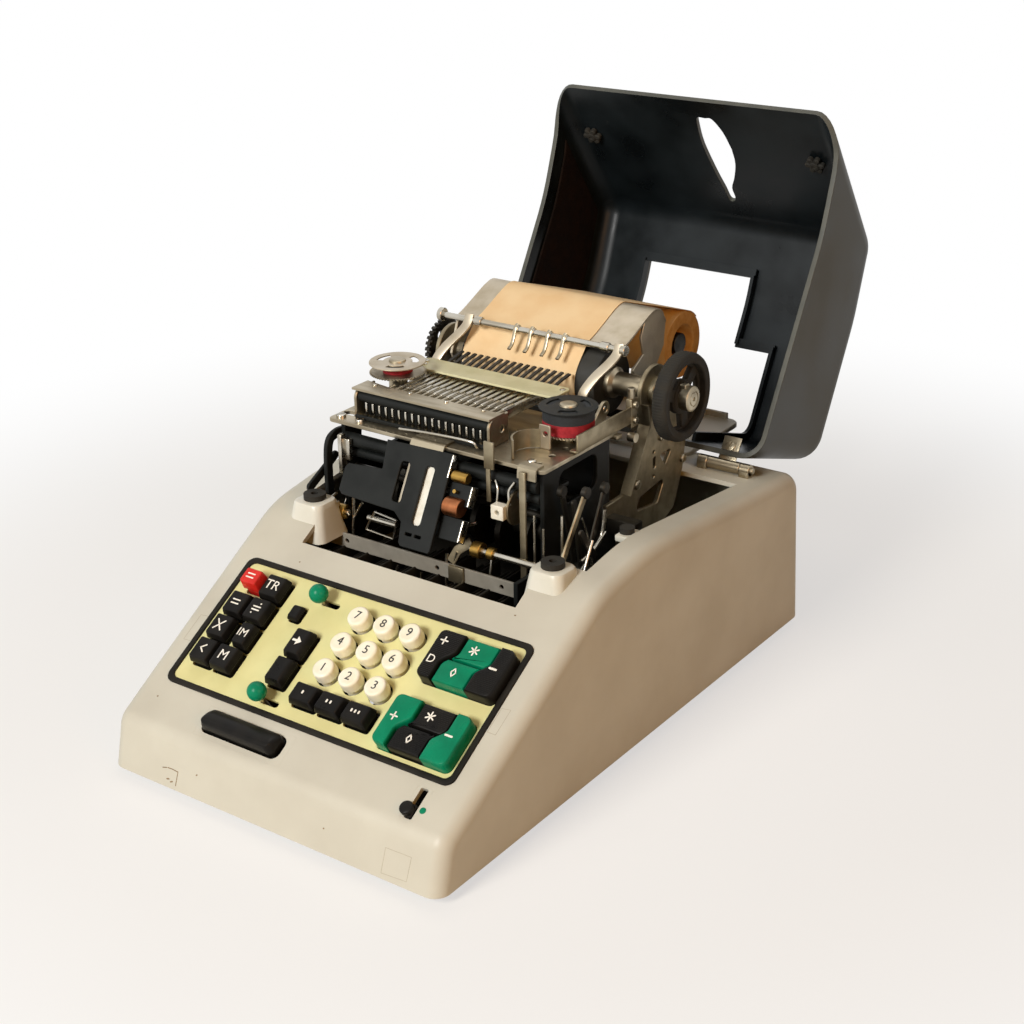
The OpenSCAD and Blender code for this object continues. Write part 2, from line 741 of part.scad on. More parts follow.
// The inner edges of the four keys of a cluster swing over to one side from top to bottom
function swing(s) = cluster_swing * sin(90 * max(-1, min(1, s / (cluster_l / 6))));
function cluster_left() = let (edge = cluster_w / 2 - cluster_side, x = cluster_w / 2, y = cluster_l / 2)
    concat([for (s = steps(-y, y, 12)) [-edge + swing(s), s]],
        corner([0, y], [-x, y], [-x, 0], cluster_r, 4), corner([-x, 0], [-x, -y], [0, -y], cluster_r, 4));
function cluster_middle(s0, s1) = let (edge = cluster_w / 2 - cluster_side - key_gap)
    concat([for (s = steps(s0, s1, 8)) [edge + swing(s), s]],
        [for (s = steps(s1, s0, 8)) [-edge + swing(s), s]]);
module cluster_key(which, part, tint) color(tint) panel_frame() translate([cluster_x, cluster_s[which], 0]) {
    low_h = key_h - cluster_drop;
    if (part == "plus") prism(cluster_left(), -key_skirt, key_h);
    if (part == "minus") rotate([0, 0, 180]) prism(cluster_left(), -key_skirt, key_h);
    if (part == "total") prism(cluster_middle(key_gap / 2, cluster_l / 2), -key_skirt, low_h);
    if (part == "subtotal") prism(cluster_middle(-cluster_l / 2, -key_gap / 2), -key_skirt, low_h);
}

module ball_lever(i) color("#0a7a58") panel_frame() translate([ball_x[i], ball_s[i], 0]) {
    translate([0, 0, -stem_below]) cylinder(d = stem_d, h = stem_below + ball_n);
    translate([0, 0, ball_n]) sphere(d = ball_d);
}

module clear_bar() color("#171716") panel_frame() translate([bar_x, bar_s, 0]) {
    prism(oblong(bar_l, bar_w, bar_r), -key_skirt, 0);
    hull() {
        prism(oblong(bar_l, bar_w, bar_r), 0, bar_h / 3);
        prism(oblong(bar_l - bar_crown[0], bar_w - bar_crown[1], bar_crown[2]), bar_h - key_brow, bar_h);
    }
}

module slot_lever() color("#171716") panel_frame() translate([slot_x, slot_s - lever_travel / 2, 0]) {
    prism(oblong(slot_w, slot_l - lever_travel - 2 * key_clear, slot_r), tongue_n[0], tongue_n[1]);
    translate([-lever_shift, 0, key_clear]) cylinder(d = lever_d, h = lever_h);
}

module cover_body(r) rounded_body(cover_centres, cover_hw - cover_r, r);
module cover_hollow() {
    cover_body(cover_r - cover_wall);
    block([window_left, window_right], [window_front, window_step + eps], [window_floor, far]);
    block([gate_left, gate_right], [window_step, gate_rear], [gate_sill, far]);
}

// Leaf-shaped slot over the indicator, as two arcs that meet at both ends
module leaf_slot() on_front_wall(leaf_x, leaf_up) intersection() {
    aside = leaf_bow - leaf_w / 2;
    translate([aside, 0, -cut]) cylinder(r = leaf_bow, h = 2 * cut);
    translate([-aside, 0, -cut]) cylinder(r = leaf_bow, h = 2 * cut);
    block([-cut, cut], [-leaf_l / 2, leaf_l / 2], [-cut, cut]);
}

module cover_shell() color("#26292b") opened() difference() {
    cover_body(cover_r);
    cover_hollow();
    under_housing(parting);
    leaf_slot();
}

module cover_fittings() color("#3a3b3b") opened() for (side = [-1, 1]) {
    x = ends(side, hinge_x[1] + clear, hinge_x[2] - clear);
    difference() {
        union() {
            rod(x, hinge_at, barrel_d);
            difference() {
                block(x, [hinge_y - hinge_leaf, hinge_y - barrel_d / 4], [hinge_z, hinge_z + barrel_d / 2]);
                cover_body(cover_r);
            }
        }
        bore(hinge_at, pin_d + running);
    }
    on_front_wall(side * star_x, star_up) translate([0, 0, -cover_wall - clear - star_t])
        for (a = [0, 60, 120]) rotate([0, 0, a]) prism(oblong(star_size[0], star_size[1], star_r), 0, star_t);
}

// Fixed knuckles and pins of the hinge, standing on the housing
module hinge_brackets() for (side = [-1, 1]) {
    rod(ends(side, hinge_x[0], hinge_x[3]), hinge_at, pin_d);
    for (i = [0, 2]) difference() {
        x = ends(side, hinge_x[i], hinge_x[i + 1]);
        union() {
            rod(x, hinge_at, barrel_d);
            block(x, [hinge_y - barrel_d / 2, hinge_y + barrel_d / 2], [hinge_z - hinge_foot, hinge_z]);
        }
        under_housing(0);
    }
}

module side_plate(x0) across([x0, x0 + frame_t], [[frame_front, 0], [frame_rear, 0], [frame_rear, frame_low],
    [frame_step, frame_low], [frame_step, deck_z], [frame_front, deck_z], [frame_front, nose_z[1]],
    [nose_y, nose_z[1]], [nose_y, nose_z[0]], [frame_front, nose_z[0]]]);

module side_frames() color("#2b2a28") place() difference() {
    union() {
        side_plate(frame_left - frame_t);
        side_plate(frame_right);
    }
    bore([cam_y, cam_z], cam_d + running);
    across([-far, far], moved(oblong(frame_window[0], frame_window[1], window_r), [cam_y, frame_window_z]));
    across([-far, far], moved(oblong(upper_window[0], upper_window[1], window_r), [cam_y, upper_window_z]));
}

module bracket(x0) across([x0, x0 + frame_t], concat(
    [[platen_y - bracket_front, bracket_foot], [platen_y, bracket_foot], platen_at + bracket_heel],
    arc(platen_at, bracket_head, -10, 170, 8), [platen_at - [bracket_front, bracket_chin]]));

module bearing_brackets() color("#a39a86") place() {
    hinge_brackets();
    difference() {
        union() {
            bracket(frame_left - 2 * frame_t);
            bracket(frame_right + frame_t);
        }
        bore(platen_at, shaft_d + running);
        for (s = bracket_slots)
            across([-far, far], moved(oblong(bracket_slot_w, s[2], bracket_slot_r), platen_at + xy(s)));
    }
}

module rods_and_links() color("#77736a") place() {
    for (r = rods) rod([frame_left, frame_right], xy(r), r[2]);
    rod([frame_left - frame_t, frame_right + frame_t], tie, tie_d);
    block([frame_left, frame_right], cross_bar_y, cross_bar_z);
    rod(spindle_x, roll_at, spindle_d);
    across([spindle_x[0], spindle_x[0] + arm_t], concat(arc(roll_at, arm_r, -10, 190, 10),
        [[roll_y - arm_hw, tray_top], [roll_y + arm_hw, tray_top]]));
    rod([frame_right + frame_t, link_rod_end], link_at, link_rod_d);
    for (i = [0:len(link_x) - 1]) {
        x = [link_x[i], link_x[i] + link_t];
        block(x, [link_at[0] - link_boss[0], link_at[0] + link_boss[0]],
            [link_at[1] - link_boss[1], link_at[1] + link_boss[1]]);
        y = frame_front + link_y[i];
        top = [y, link_top[0] - link_top[1] * i];
        across(x, band([[y + link_foot[0], link_foot[1]], link_at, top], link_w));
    }
}

module cam_shaft() color("#8c8371") place() {
    rod([frame_left - frame_t, frame_right + frame_t], [cam_y, cam_z], cam_d);
    for (i = [0:len(cam_x) - 1]) difference() {
        translate([0, cam_y, cam_z]) rotate([i * cam_step, 0, 0])
            rod([cam_x[i], cam_x[i] + cam_w], [cam_lift, 0], cam_lobe_d);
        bore([cam_y, cam_z], cam_d - eps);
    }
}

// The indicator plate hangs from the deck's front edge, parallel to the cover's front wall
module indicator_frame() place() translate([0, deck_front, deck_top])
    rotate([indicator_angle, 0, 0]) children();
module indicator_plate() color("#1a1a1a") indicator_frame() difference() {
    translate([(indicator_x[0] + indicator_x[1]) / 2, (indicator_top - indicator_l) / 2, 0])
        prism(oblong(indicator_x[1] - indicator_x[0], indicator_l + indicator_top, indicator_r),
            0, indicator_t);
    for (x = indicator_slots) translate([x, -indicator_l / 2, 0])
        prism(oblong(indicator_slot[0], indicator_slot[1], strip_r), -cut, cut);
}
module indicator_strip() color("#e9e7df") indicator_frame()
    translate([indicator_slots[1], -indicator_l / 2, 0])
        prism(oblong(strip_size[0], strip_size[1], strip_r), -clear - strip_t, -clear);

module deck_plate() difference() {
    block([deck_left, deck_right], [deck_front, deck_rear], [deck_z, deck_top]);
    for (i = [0:deck_holes - 1])
        translate([deck_hole_at[0], deck_hole_at[1] + i * deck_hole_pitch, deck_z - 1])
            cylinder(d = deck_hole_d, h = deck_t + 2);
    block(deck_slot_x, deck_slot_y, [deck_z - 1, deck_top + 1]);
}
// Two combs that guide the type bars
module combs() difference() {
    for (y = comb_y) block(comb_x, [y, y + comb_l], [deck_top - eps, deck_top + comb_h]);
    for (i = [0:type_count - 1]) {
        x0 = type_left + i * type_pitch;
        block([x0 - clear, x0 + type_w + clear], comb_cut_y, [type_z - clear, far]);
    }
}
module print_deck() color("#a89c86") place() {
    deck_plate();
    combs();
    block(scale_x, [scale_front, scale_front + scale_w], [scale_z, scale_z + scale_t]);
    for (x0 = [scale_x[0], scale_x[1] - bail_t])
        block([x0, x0 + bail_t], [scale_front, scale_front + scale_post], [deck_top - eps, scale_z + eps]);
    for (side = [0, 1]) {
        x0 = side == 0 ? bail_left - bail_t - clear : bail_right + clear;
        difference() {
            across([x0, x0 + bail_t], concat([[ear_y[0], deck_top - eps], [ear_y[1], deck_top - eps]],
                arc(bail_pivot, ear_r, -60, 140, 8)));
            bore(bail_pivot, bail_pin_d + running);
        }
        translate([spool_x[side], spool_y[side], deck_top - eps]) {
            cylinder(d = spool_pin_d, h = spool_lift[side] + spool_h[side]);
            cylinder(d = spool_boss_d, h = spool_lift[side] - clear);
        }
    }
}

module type_bars() color("#c9c5bb") place() for (i = [0:type_count - 1]) {
    x0 = type_left + i * type_pitch;
    block([x0, x0 + type_w], [type_front, type_rear], [type_z, type_z + type_h]);
}

module paper_bail() color("#b9b29a") place() {
    rod([bail_left, bail_right], bail_rod, bail_d);
    rod([bail_left - bail_t - clear, bail_right + bail_t + clear], bail_pivot, bail_pin_d);
    for (x0 = [bail_left, bail_right - bail_t]) across([x0, x0 + bail_t], band(bail_path, bail_w));
    for (x0 = finger_x) across([x0, x0 + finger_w], band(finger_path, finger_t));
}

module ribbon_spool(i) color(i == 0 ? "#9b968a" : "#2a2725") place()
    translate([spool_x[i], spool_y[i], deck_top + spool_lift[i]]) difference() {
        union() {
            cylinder(r = spool_r, h = flange_t);
            translate([0, 0, spool_h[i] - flange_t]) cylinder(r = spool_r, h = flange_t);
            cylinder(r = ribbon_r, h = spool_h[i]);
        }
        translate([0, 0, -1]) cylinder(d = spool_pin_d + running, h = spool_h[i] + 2);
    }

module platen() color("#2e2d2b") place() {
    rod(platen_x, platen_at, 2 * platen_r);
    rod([wheel_x[0], knob_x[0]], platen_at, shaft_d);
    rod([platen_x[1], sleeve_end], platen_at, sleeve_d);
    difference() {
        rod(wheel_x, platen_at, 2 * wheel_r);
        around(platen_at, wheel_teeth) block([-far, far], [wheel_r - wheel_notch[0], wheel_r + 1],
            [-wheel_notch[1], wheel_notch[1]]);
    }
}

module platen_knob() color("#1d1d1d") place() {
    dish_x = knob_x[1] - knob_dish;
    difference() {
        rod(knob_x, platen_at, 2 * knob_r);
        around(platen_at, knob_ribs) block([-far, far], [knob_r - knob_groove[0], knob_r + 1],
            [-knob_groove[1], knob_groove[1]]);
        rod([dish_x, far], platen_at, 2 * (knob_r - knob_rim));
        around(platen_at, knob_holes) bore([knob_hole_r, 0], knob_hole_d);
    }
    rod([dish_x, knob_x[1] + hub_l], platen_at, hub_d);
}

// Path of the guide's sheet in the side view, and the paper above it
guide_path = concat([guide_lip], corner(guide_lip, guide_crest, guide_tail, guide_bend, 6), [guide_tail]);
module paper_guide() color("#8f8d88") place() {
    across(guide_x, band(guide_path, guide_t));
    difference() {
        for (x0 = [guide_x[0], guide_x[1] - cheek_t]) across([x0, x0 + cheek_t], concat(guide_path,
            [tie + cheek_heel, tie + cheek_toe, platen_at + cheek_front]));
        bore(tie, tie_d + clear);
        bore(platen_at, sleeve_d + cheek_clear);
    }
}

web_lift = guide_t / 2 + clear + paper_t / 2;
web_r = platen_r + clear + paper_t / 2;
roll_lap = roll_r + clear + paper_t / 2;
web_bend = 4;
web_start = 215;
web_wrap = 30;
web_top = [for (i = [0:web_bend]) lifted(guide_path, web_lift)[i]];
web_from = touch(web_top[0], platen_at, web_r, 1);
web_to = touch(web_top[web_bend], roll_at, roll_lap, -1);
web_path = concat(arc(platen_at, web_r, web_start, web_from, 8), web_top,
    arc(roll_at, roll_lap, web_to, web_to - web_wrap, 4));
module paper_web() color("#d9b88c") place() across([paper_left, paper_right], band(web_path, paper_t));

module paper_roll() color("#cda878") place() difference() {
    rod([paper_left, paper_right], roll_at, 2 * roll_r);
    bore(roll_at, roll_bore);
}

base_housing();
bottom_plate();
rubber_feet_and_pads();
power_inlet();
motor();
keyboard_panel();
panel_trim();
number_key(1);  // key_1
number_key(2);  // key_2
number_key(3);  // key_3
number_key(4);  // key_4
number_key(5);  // key_5
number_key(6);  // key_6
number_key(7);  // key_7
number_key(8);  // key_8
number_key(9);  // key_9
zero_key(0);  // key_zero
zero_key(1);  // key_double_zero
zero_key(2);  // key_triple_zero
function_key(0, 3, "#c9242c", key_h + red_rise);  // key_red_equals
function_key(0, 2, "#1b1b1a", key_h);  // key_equals
function_key(0, 1, "#1b1b1a", key_h);  // key_multiply
function_key(0, 0, "#1b1b1a", key_h);  // key_less
function_key(1, 3, "#1b1b1a", key_h);  // key_transfer
function_key(1, 2, "#1b1b1a", key_h);  // key_divide
function_key(1, 1, "#1b1b1a", key_h);  // key_memory_in
function_key(1, 0, "#1b1b1a", key_h);  // key_memory
box_key(small_x, small_s, small_w, small_l, small_h, "#1b1b1a");  // key_small
box_key(arrow_x, arrow_s, arrow_w, arrow_pitch - key_gap, key_h, "#1b1b1a");  // key_arrow
box_key(arrow_x, arrow_s - arrow_pitch, arrow_w, arrow_pitch - key_gap, key_h, "#1b1b1a");  // key_blank
cluster_key(1, "plus", "#1b1b1a");  // key_upper_plus
cluster_key(1, "total", "#0b7d58");  // key_upper_total
cluster_key(1, "subtotal", "#0b7d58");  // key_upper_subtotal
cluster_key(1, "minus", "#1b1b1a");  // key_upper_minus
cluster_key(0, "plus", "#0b7d58");  // key_lower_plus
cluster_key(0, "total", "#1b1b1a");  // key_lower_total
cluster_key(0, "subtotal", "#1b1b1a");  // key_lower_subtotal
cluster_key(0, "minus", "#0b7d58");  // key_lower_minus
ball_lever(1);  // ball_lever_top
ball_lever(0);  // ball_lever_bottom
clear_bar();
slot_lever();
cover_shell();
cover_fittings();
side_frames();
bearing_brackets();
rods_and_links();
cam_shaft();
indicator_plate();
indicator_strip();
print_deck();
type_bars();
paper_bail();
ribbon_spool(0);  // ribbon_spool_left
ribbon_spool(1);  // ribbon_spool_right
platen();
platen_knob();
paper_guide();
paper_web();
paper_roll();
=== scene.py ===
# %% [markdown]
# # A printing calculator with its cover open
# The solids come packed from the CAD side: sixty named nodes on forty-five bodies. This script leaves them where they
# are and dresses them: smooth painted shells, moulded keys with signs, sheet metal with rounded edges, paper and
# rubber. All sizes below are millimetres, counted from the front bottom edge of the housing, and only the last step of
# a piece turns them into metres in the CAD frame.

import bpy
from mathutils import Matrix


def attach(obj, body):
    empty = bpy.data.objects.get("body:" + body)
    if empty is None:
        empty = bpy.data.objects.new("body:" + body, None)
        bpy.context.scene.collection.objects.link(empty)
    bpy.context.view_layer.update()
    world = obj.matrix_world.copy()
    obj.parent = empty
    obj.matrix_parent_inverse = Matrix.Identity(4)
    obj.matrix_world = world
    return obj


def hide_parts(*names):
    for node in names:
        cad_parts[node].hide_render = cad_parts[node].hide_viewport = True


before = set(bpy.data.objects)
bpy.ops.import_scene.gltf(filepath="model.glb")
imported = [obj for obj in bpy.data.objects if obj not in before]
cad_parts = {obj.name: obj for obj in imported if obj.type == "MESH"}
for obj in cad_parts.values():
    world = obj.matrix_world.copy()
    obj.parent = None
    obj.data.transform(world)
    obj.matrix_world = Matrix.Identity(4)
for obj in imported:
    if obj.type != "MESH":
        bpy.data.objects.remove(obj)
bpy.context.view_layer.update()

import math

import bmesh
import bpy
import numpy as np
from mathutils import Matrix, Vector

scene = bpy.context.scene
scene.view_settings.view_transform = "Standard"
MM = 0.001
FRONT = np.array([0.0, -255.578, 8.0])

# %% [markdown]
# ## The camera
# The photograph looks down on the right front corner. Its place was worked out from the housing's straight edges: a
# yaw, a pitch, a slight roll and a focal length. A camera looks along its own -Z, so its matrix has right, up and
# minus forward as columns.

# %% Camera
VIEWPOINT, LENS, SENSOR = (0.6158, -0.85318, 0.56375), 63.36, 36.0
yaw, pitch, roll = np.radians([-36.41, 23.63, -1.31])
ahead = np.array([math.sin(yaw) * math.cos(pitch), math.cos(yaw) * math.cos(pitch), -math.sin(pitch)])
level = np.array([math.cos(yaw), -math.sin(yaw), 0.0])
upward = np.cross(level, ahead)
right = level * math.cos(roll) + upward * math.sin(roll)
top = upward * math.cos(roll) - level * math.sin(roll)
camera = bpy.data.objects.new("camera", bpy.data.cameras.new("camera"))
camera.data.lens, camera.data.sensor_width = LENS, SENSOR
facing = Matrix([[right[i], top[i], -ahead[i]] for i in range(3)]).to_4x4()
camera.matrix_world = Matrix.Translation(VIEWPOINT) @ facing
scene.collection.objects.link(camera)
scene.camera = camera
print("camera looks along", ahead.round(3))

# %% [markdown]
# ## Finishes
# Each finish below starts from what the real surface is. They share one build: two tones mixed by a broad noise, a
# finer noise for the bump, and specks of wear or dust on top. The broad noise also drives the gloss. All noises read
# Object coordinates in metres, so a size in millimetres becomes a scale of one over that size.

# %% Helpers for materials
def linear(code):
    """Linear colour of an sRGB hex value: each c becomes ((c + 0.055) / 1.055) ** 2.4, or c / 12.92 when dark."""
    c = np.array([int(code[i:i + 2], 16) for i in (1, 3, 5)]) / 255
    return [*np.where(c <= 0.04045, c / 12.92, ((c + 0.055) / 1.055) ** 2.4).tolist(), 1.0]


def node(tree, kind, inputs=None, **settings):
    """Adds a node, sets its properties, and sets or links its inputs."""
    made = tree.nodes.new(kind)
    for key, value in settings.items():
        setattr(made, key, value)
    for key, value in (inputs or {}).items():
        if isinstance(value, bpy.types.NodeSocket):
            tree.links.new(value, made.inputs[key])
        else:
            made.inputs[key].default_value = value
    return made


def finish(name, tones, patch, rough, swing, grain, bump, specks=(), stretch=(1, 1, 1), shine=0.5, metal=0.0):
    """Colour = mix(tone 1, tone 2, broad noise), then specks (tone, size, share); gloss = rough + swing * noise."""
    material = bpy.data.materials.new(name)
    material.use_nodes = True
    tree = material.node_tree
    tree.nodes.clear()
    place = node(tree, "ShaderNodeTexCoord").outputs["Object"]
    drawn = node(tree, "ShaderNodeMapping", {"Vector": place, "Scale": stretch}).outputs[0]
    broad = node(tree, "ShaderNodeTexNoise", {"Vector": drawn, "Scale": 1 / (patch * MM), "Detail": 5.0})
    fine = node(tree, "ShaderNodeTexNoise", {"Vector": drawn, "Scale": 1 / (grain * MM), "Detail": 2.0})
    broad, fine = broad.outputs["Fac"], fine.outputs["Fac"]
    spread = node(tree, "ShaderNodeMapRange", {0: broad, 1: 0.35, 2: 0.65, 3: 0.0, 4: 1.0}).outputs[0]
    gloss = node(tree, "ShaderNodeMapRange", {0: broad, 1: 0.3, 2: 0.7, 3: rough - swing,
        4: rough + swing}).outputs[0]
    tones = {0: spread, 6: linear(tones[0]), 7: linear(tones[1])}
    colour = node(tree, "ShaderNodeMix", tones, data_type="RGBA").outputs[2]
    for tone, size, share in specks:
        noise = {"Vector": place, "Scale": 1 / (size * MM), "Detail": 6.0, "Roughness": 0.65}
        spot = node(tree, "ShaderNodeTexNoise", noise).outputs["Fac"]
        mask = node(tree, "ShaderNodeMapRange", {0: spot, 1: 0.5 + share, 2: 0.58 + share, 3: 0.0, 4: 1.0}).outputs[0]
        colour = node(tree, "ShaderNodeMix", {0: mask, 6: colour, 7: linear(tone)}, data_type="RGBA").outputs[2]
    relief = node(tree, "ShaderNodeBump", {"Height": fine, "Strength": bump, "Distance": 0.0005}).outputs[0]
    look = {"Base Color": colour, "Roughness": gloss, "Normal": relief, "Specular IOR Level": shine,
        "Metallic": metal}
    shader = node(tree, "ShaderNodeBsdfPrincipled", look)
    node(tree, "ShaderNodeOutputMaterial", {"Surface": shader.outputs[0]})
    return material


# %% [markdown]
# ## Paint, plastic and rubber
# Stoved enamel is smooth with a faint orange peel. Keys are thermoset mouldings with a high gloss. Worn rubber and
# the dusty inside of the cover scatter light, so their roughness is high and uneven.

# %% Painted and moulded finishes
enamel = finish(
    "stoved_cream_enamel", ("#c9c6b8", "#bfbbad"), 55, 0.45, 0.06, 1.1, 0.05, [("#a3957a", 5.0, 0.26)], shine=0.35)
# A paler copy of the housing enamel for the posts and ledges. It is painted light: the same paint made lighter to stand
# for the light these parts catch.
painted_lit_enamel = finish(
    "stoved_enamel_painted_lit", ("#dbdad0", "#d0cec0"), 30, 0.34, 0.06, 1.1, 0.04, [("#b5a27c", 4.0, 0.24)])
panel_paint = finish(
    "pale_yellow_enamel", ("#e0db9f", "#d7d194"), 24, 0.42, 0.08, 0.9, 0.05, [("#b3a263", 3.0, 0.25)])
trim_vinyl = finish("black_vinyl_trim", ("#25221d", "#191713"), 14, 0.55, 0.1, 0.7, 0.12, shine=0.12)
black_key = finish(
    "black_phenolic_moulding", ("#131211", "#1b1916"), 12, 0.34, 0.08, 0.5, 0.03, [("#2e2b23", 2.0,
        0.27)], shine=0.12)
green_key = finish(
    "green_phenolic_moulding", ("#05845f", "#067453"), 12, 0.3, 0.07, 0.5, 0.03, [("#0a5e46", 2.0, 0.25)], shine=0.15)
red_key = finish("red_phenolic_moulding", ("#d62c22", "#c2221b"), 10, 0.3, 0.06, 0.5, 0.03, shine=0.35)
ivory_key = finish(
    "ivory_urea_moulding", ("#f7f2e0", "#f0e9cf"), 7, 0.36, 0.08, 0.5, 0.03, [("#bfae85", 2.0, 0.25)])
white_sign = finish("white_filled_sign", ("#f6f4ec", "#e8e4d8"), 3, 0.5, 0.1, 0.4, 0.03)
dark_sign = finish("dark_filled_sign", ("#22201d", "#2d2a26"), 3, 0.5, 0.1, 0.4, 0.03)
rubber = finish(
    "aged_black_rubber", ("#282724", "#33312c"), 6, 0.72, 0.1, 0.4, 0.2, [("#4c493f", 1.5, 0.22)], shine=0.15)
platen_rubber = finish(
    "ground_platen_rubber", ("#262522", "#302f2a"), 8, 0.6, 0.1, 0.4, 0.12, [("#4a473f", 1.4, 0.2)], shine=0.3)
cover_skin = finish(
    "dark_grey_moulded_shell", ("#33342e", "#45453d"), 70, 0.48, 0.1, 0.8, 0.08, [("#5c594d", 9.0, 0.2)], shine=0.25)
cover_inner = finish(
    "black_moulded_inside", ("#0c1012", "#1a2023"), 45, 0.34, 0.12, 0.8, 0.06,
    [("#3c3f3c", 12.0, 0.2), ("#5a5044", 2.2, 0.25)], shine=0.18)
# The rim faces of the shell's wall are simply given a lighter grey than the shell.
cover_edge = finish("lighter_shell_rim", ("#41433d", "#565750"), 16, 0.5, 0.1, 0.8, 0.1, shine=0.35)
felt = finish("brown_felt", ("#120b07", "#1e130d"), 9, 0.95, 0.04, 0.9, 0.8, [("#38241a", 5.0, 0.2)], shine=0.1)
black_enamel = finish(
    "black_stoved_enamel", ("#141615", "#1d1f1e"), 18, 0.45, 0.1, 0.6, 0.06, [("#47443d", 2.2, 0.25)], shine=0.15)
scale_paint = finish(
    "yellow_green_lacquer", ("#dad8b2", "#ccc99f"), 12, 0.4, 0.1, 0.6, 0.05, [("#8c8656", 2.0, 0.2)])
grey_lacquer = finish(
    "grey_lacquered_steel", ("#8b877d", "#7a766c"), 14, 0.5, 0.1, 0.6, 0.06, [("#4a463d", 2.5, 0.23)], shine=0.3)
strip_white = finish("white_celluloid", ("#efece0", "#dcd8c8"), 8, 0.4, 0.08, 0.5, 0.03)
mark_grey = finish("sticker_residue", ("#a79f8c", "#b6ae9b"), 9, 0.6, 0.08, 0.6, 0.03)
mark_brown = finish("chipped_primer", ("#6e5a3f", "#8a7455"), 4, 0.7, 0.08, 0.4, 0.05)
print("painted and moulded finishes", len(bpy.data.materials))

# %% [markdown]
# ## Metal, ribbon and paper
# The works are nickel-plated or oiled steel with some brass and copper. Rolled and drawn stock has its grain along X.
# Old oil has warmed the plating. The paper is uncoated and aged to tan.

# %% Metal and fibre finishes
ROLLED, DRAWN = (0.25, 1, 1), (0.4, 1, 1)
steel = finish(
    "nickel_plated_steel", ("#b3a78f", "#8f846f"), 9, 0.36, 0.1, 0.5, 0.1, [("#5b4f3c", 2.5,
        0.22)], ROLLED, metal=1.0)
bright_steel = finish(
    "polished_steel_rod", ("#c9c4b8", "#a8a090"), 8, 0.24, 0.08, 0.4, 0.05, [("#6e6455", 2.0,
        0.24)], ROLLED, metal=1.0)
tin = finish("zinc_coated_sheet", ("#bfb4a0", "#a99d87"), 14, 0.42, 0.1, 0.5, 0.08, [("#8f8370", 3.0, 0.24)],
    metal=0.8)
dark_steel = finish(
    "oiled_dark_steel", ("#3b372f", "#27241f"), 10, 0.42, 0.12, 0.5, 0.12, [("#6b6150", 2.2, 0.23)], DRAWN, metal=0.8)
tan_steel = finish(
    "yellow_passivated_steel", ("#958a72", "#776c56"), 10, 0.42, 0.1, 0.5, 0.1, [("#4c3f2a", 2.2, 0.23)], DRAWN,
    metal=0.9)
brass = finish("turned_brass", ("#b5924c", "#94743a"), 6, 0.32, 0.1, 0.4, 0.06, [("#5a4422", 1.8, 0.24)], metal=1.0)
copper = finish("turned_copper", ("#b0714b", "#8d5636"), 6, 0.36, 0.1, 0.4, 0.06, [("#553322", 1.8, 0.24)], metal=1.0)
ribbon_black = finish("inked_black_ribbon", ("#16181a", "#23272a"), 4, 0.8, 0.08, 0.3, 0.4)
ribbon_red = finish("inked_red_ribbon", ("#a81f2b", "#8a1722"), 4, 0.8, 0.08, 0.3, 0.4)
paper = finish("tan_uncoated_paper", ("#f3d7aa", "#ecca99"), 22, 0.85, 0.04, 0.5, 0.12, [("#c99f68", 3.0, 0.27)])
paper_edge = finish("cut_paper_layers", ("#f2c98c", "#e2b478"), 5, 0.85, 0.05, 0.35, 0.4)
print("finishes", len(bpy.data.materials))

# %% [markdown]
# ## Shapes from numbers
# A surface is a grid of points P(u, v). The helpers below turn such grids into quads, stack closed loops, swing a
# profile round an axis, carry a section along a path, and cut plates with holes from flat curves. A shape is a pair:
# its points, and its faces as arrays of point numbers.

# %% Helpers for shapes
def unit(v):
    """The same directions with length one."""
    v = np.asarray(v, float)
    return v / np.linalg.norm(v, axis=-1, keepdims=True)


def grid(P, wrap_u=False, wrap_v=False, keep=None):
    """Quads over points P(u, v): each cell joins four neighbours, a wrapped side joins its last line to its first."""
    index = np.arange(P.shape[0] * P.shape[1]).reshape(P.shape[:2])
    index = np.vstack([index, index[:1]]) if wrap_u else index
    index = np.hstack([index, index[:, :1]]) if wrap_v else index
    cells = np.stack([index[:-1, :-1], index[1:, :-1], index[1:, 1:], index[:-1, 1:]], axis=-1)
    return P.reshape(-1, 3), [cells.reshape(-1, 4) if keep is None else cells[keep]]


def joined(*shapes):
    """Several shapes as one: the points follow each other, and the faces of each count on from there."""
    starts = np.cumsum([0] + [len(points) for points, _ in shapes])
    return np.vstack([points for points, _ in shapes]), [q + s for s,
        (_, faces) in zip(starts, shapes) for q in faces]


def moved(shape, by):
    return shape[0] + np.asarray(by, float), shape[1]


def lofted(loops):
    """A stack of closed loops P(level, k), skinned with quads and closed with a face at both ends."""
    points, faces = grid(loops, wrap_v=True)
    ring = np.arange(loops.shape[1])
    return points, faces + [ring[None, ::-1], (ring + len(points) - len(ring))[None]]


def tiers(levels):
    """Flat loops at their heights as one stack of loops."""
    return np.stack([np.c_[loop, np.full(len(loop), height)] for loop, height in levels])


def turned(profile, start, axis=(1, 0, 0), sides=40):
    """A turned part: P(k, a) = start + distance_k * axis + radius_k * (cos a * one + sin a * two)."""
    far, radius = np.asarray(profile, float).T[:, :, None, None]
    axis = unit(axis)
    one = unit(np.cross(axis, (0, 0, 1) if abs(axis[2]) < 0.9 else (0, 1, 0)))
    a = np.linspace(0, 2 * np.pi, sides, endpoint=False)[:, None]
    return lofted(np.asarray(start, float) + far * axis + radius * (np.cos(a) * one + np.sin(a) * np.cross(axis,
        one)))


def upright(profile, sides, start=(0, 0, 0)):
    """A turned part that stands along Z."""
    return turned(profile, start, (0, 0, 1), sides)


def circle(r, sides=12):
    a = np.linspace(0, 2 * np.pi, sides, endpoint=False)
    return r * np.c_[np.cos(a), np.sin(a)]


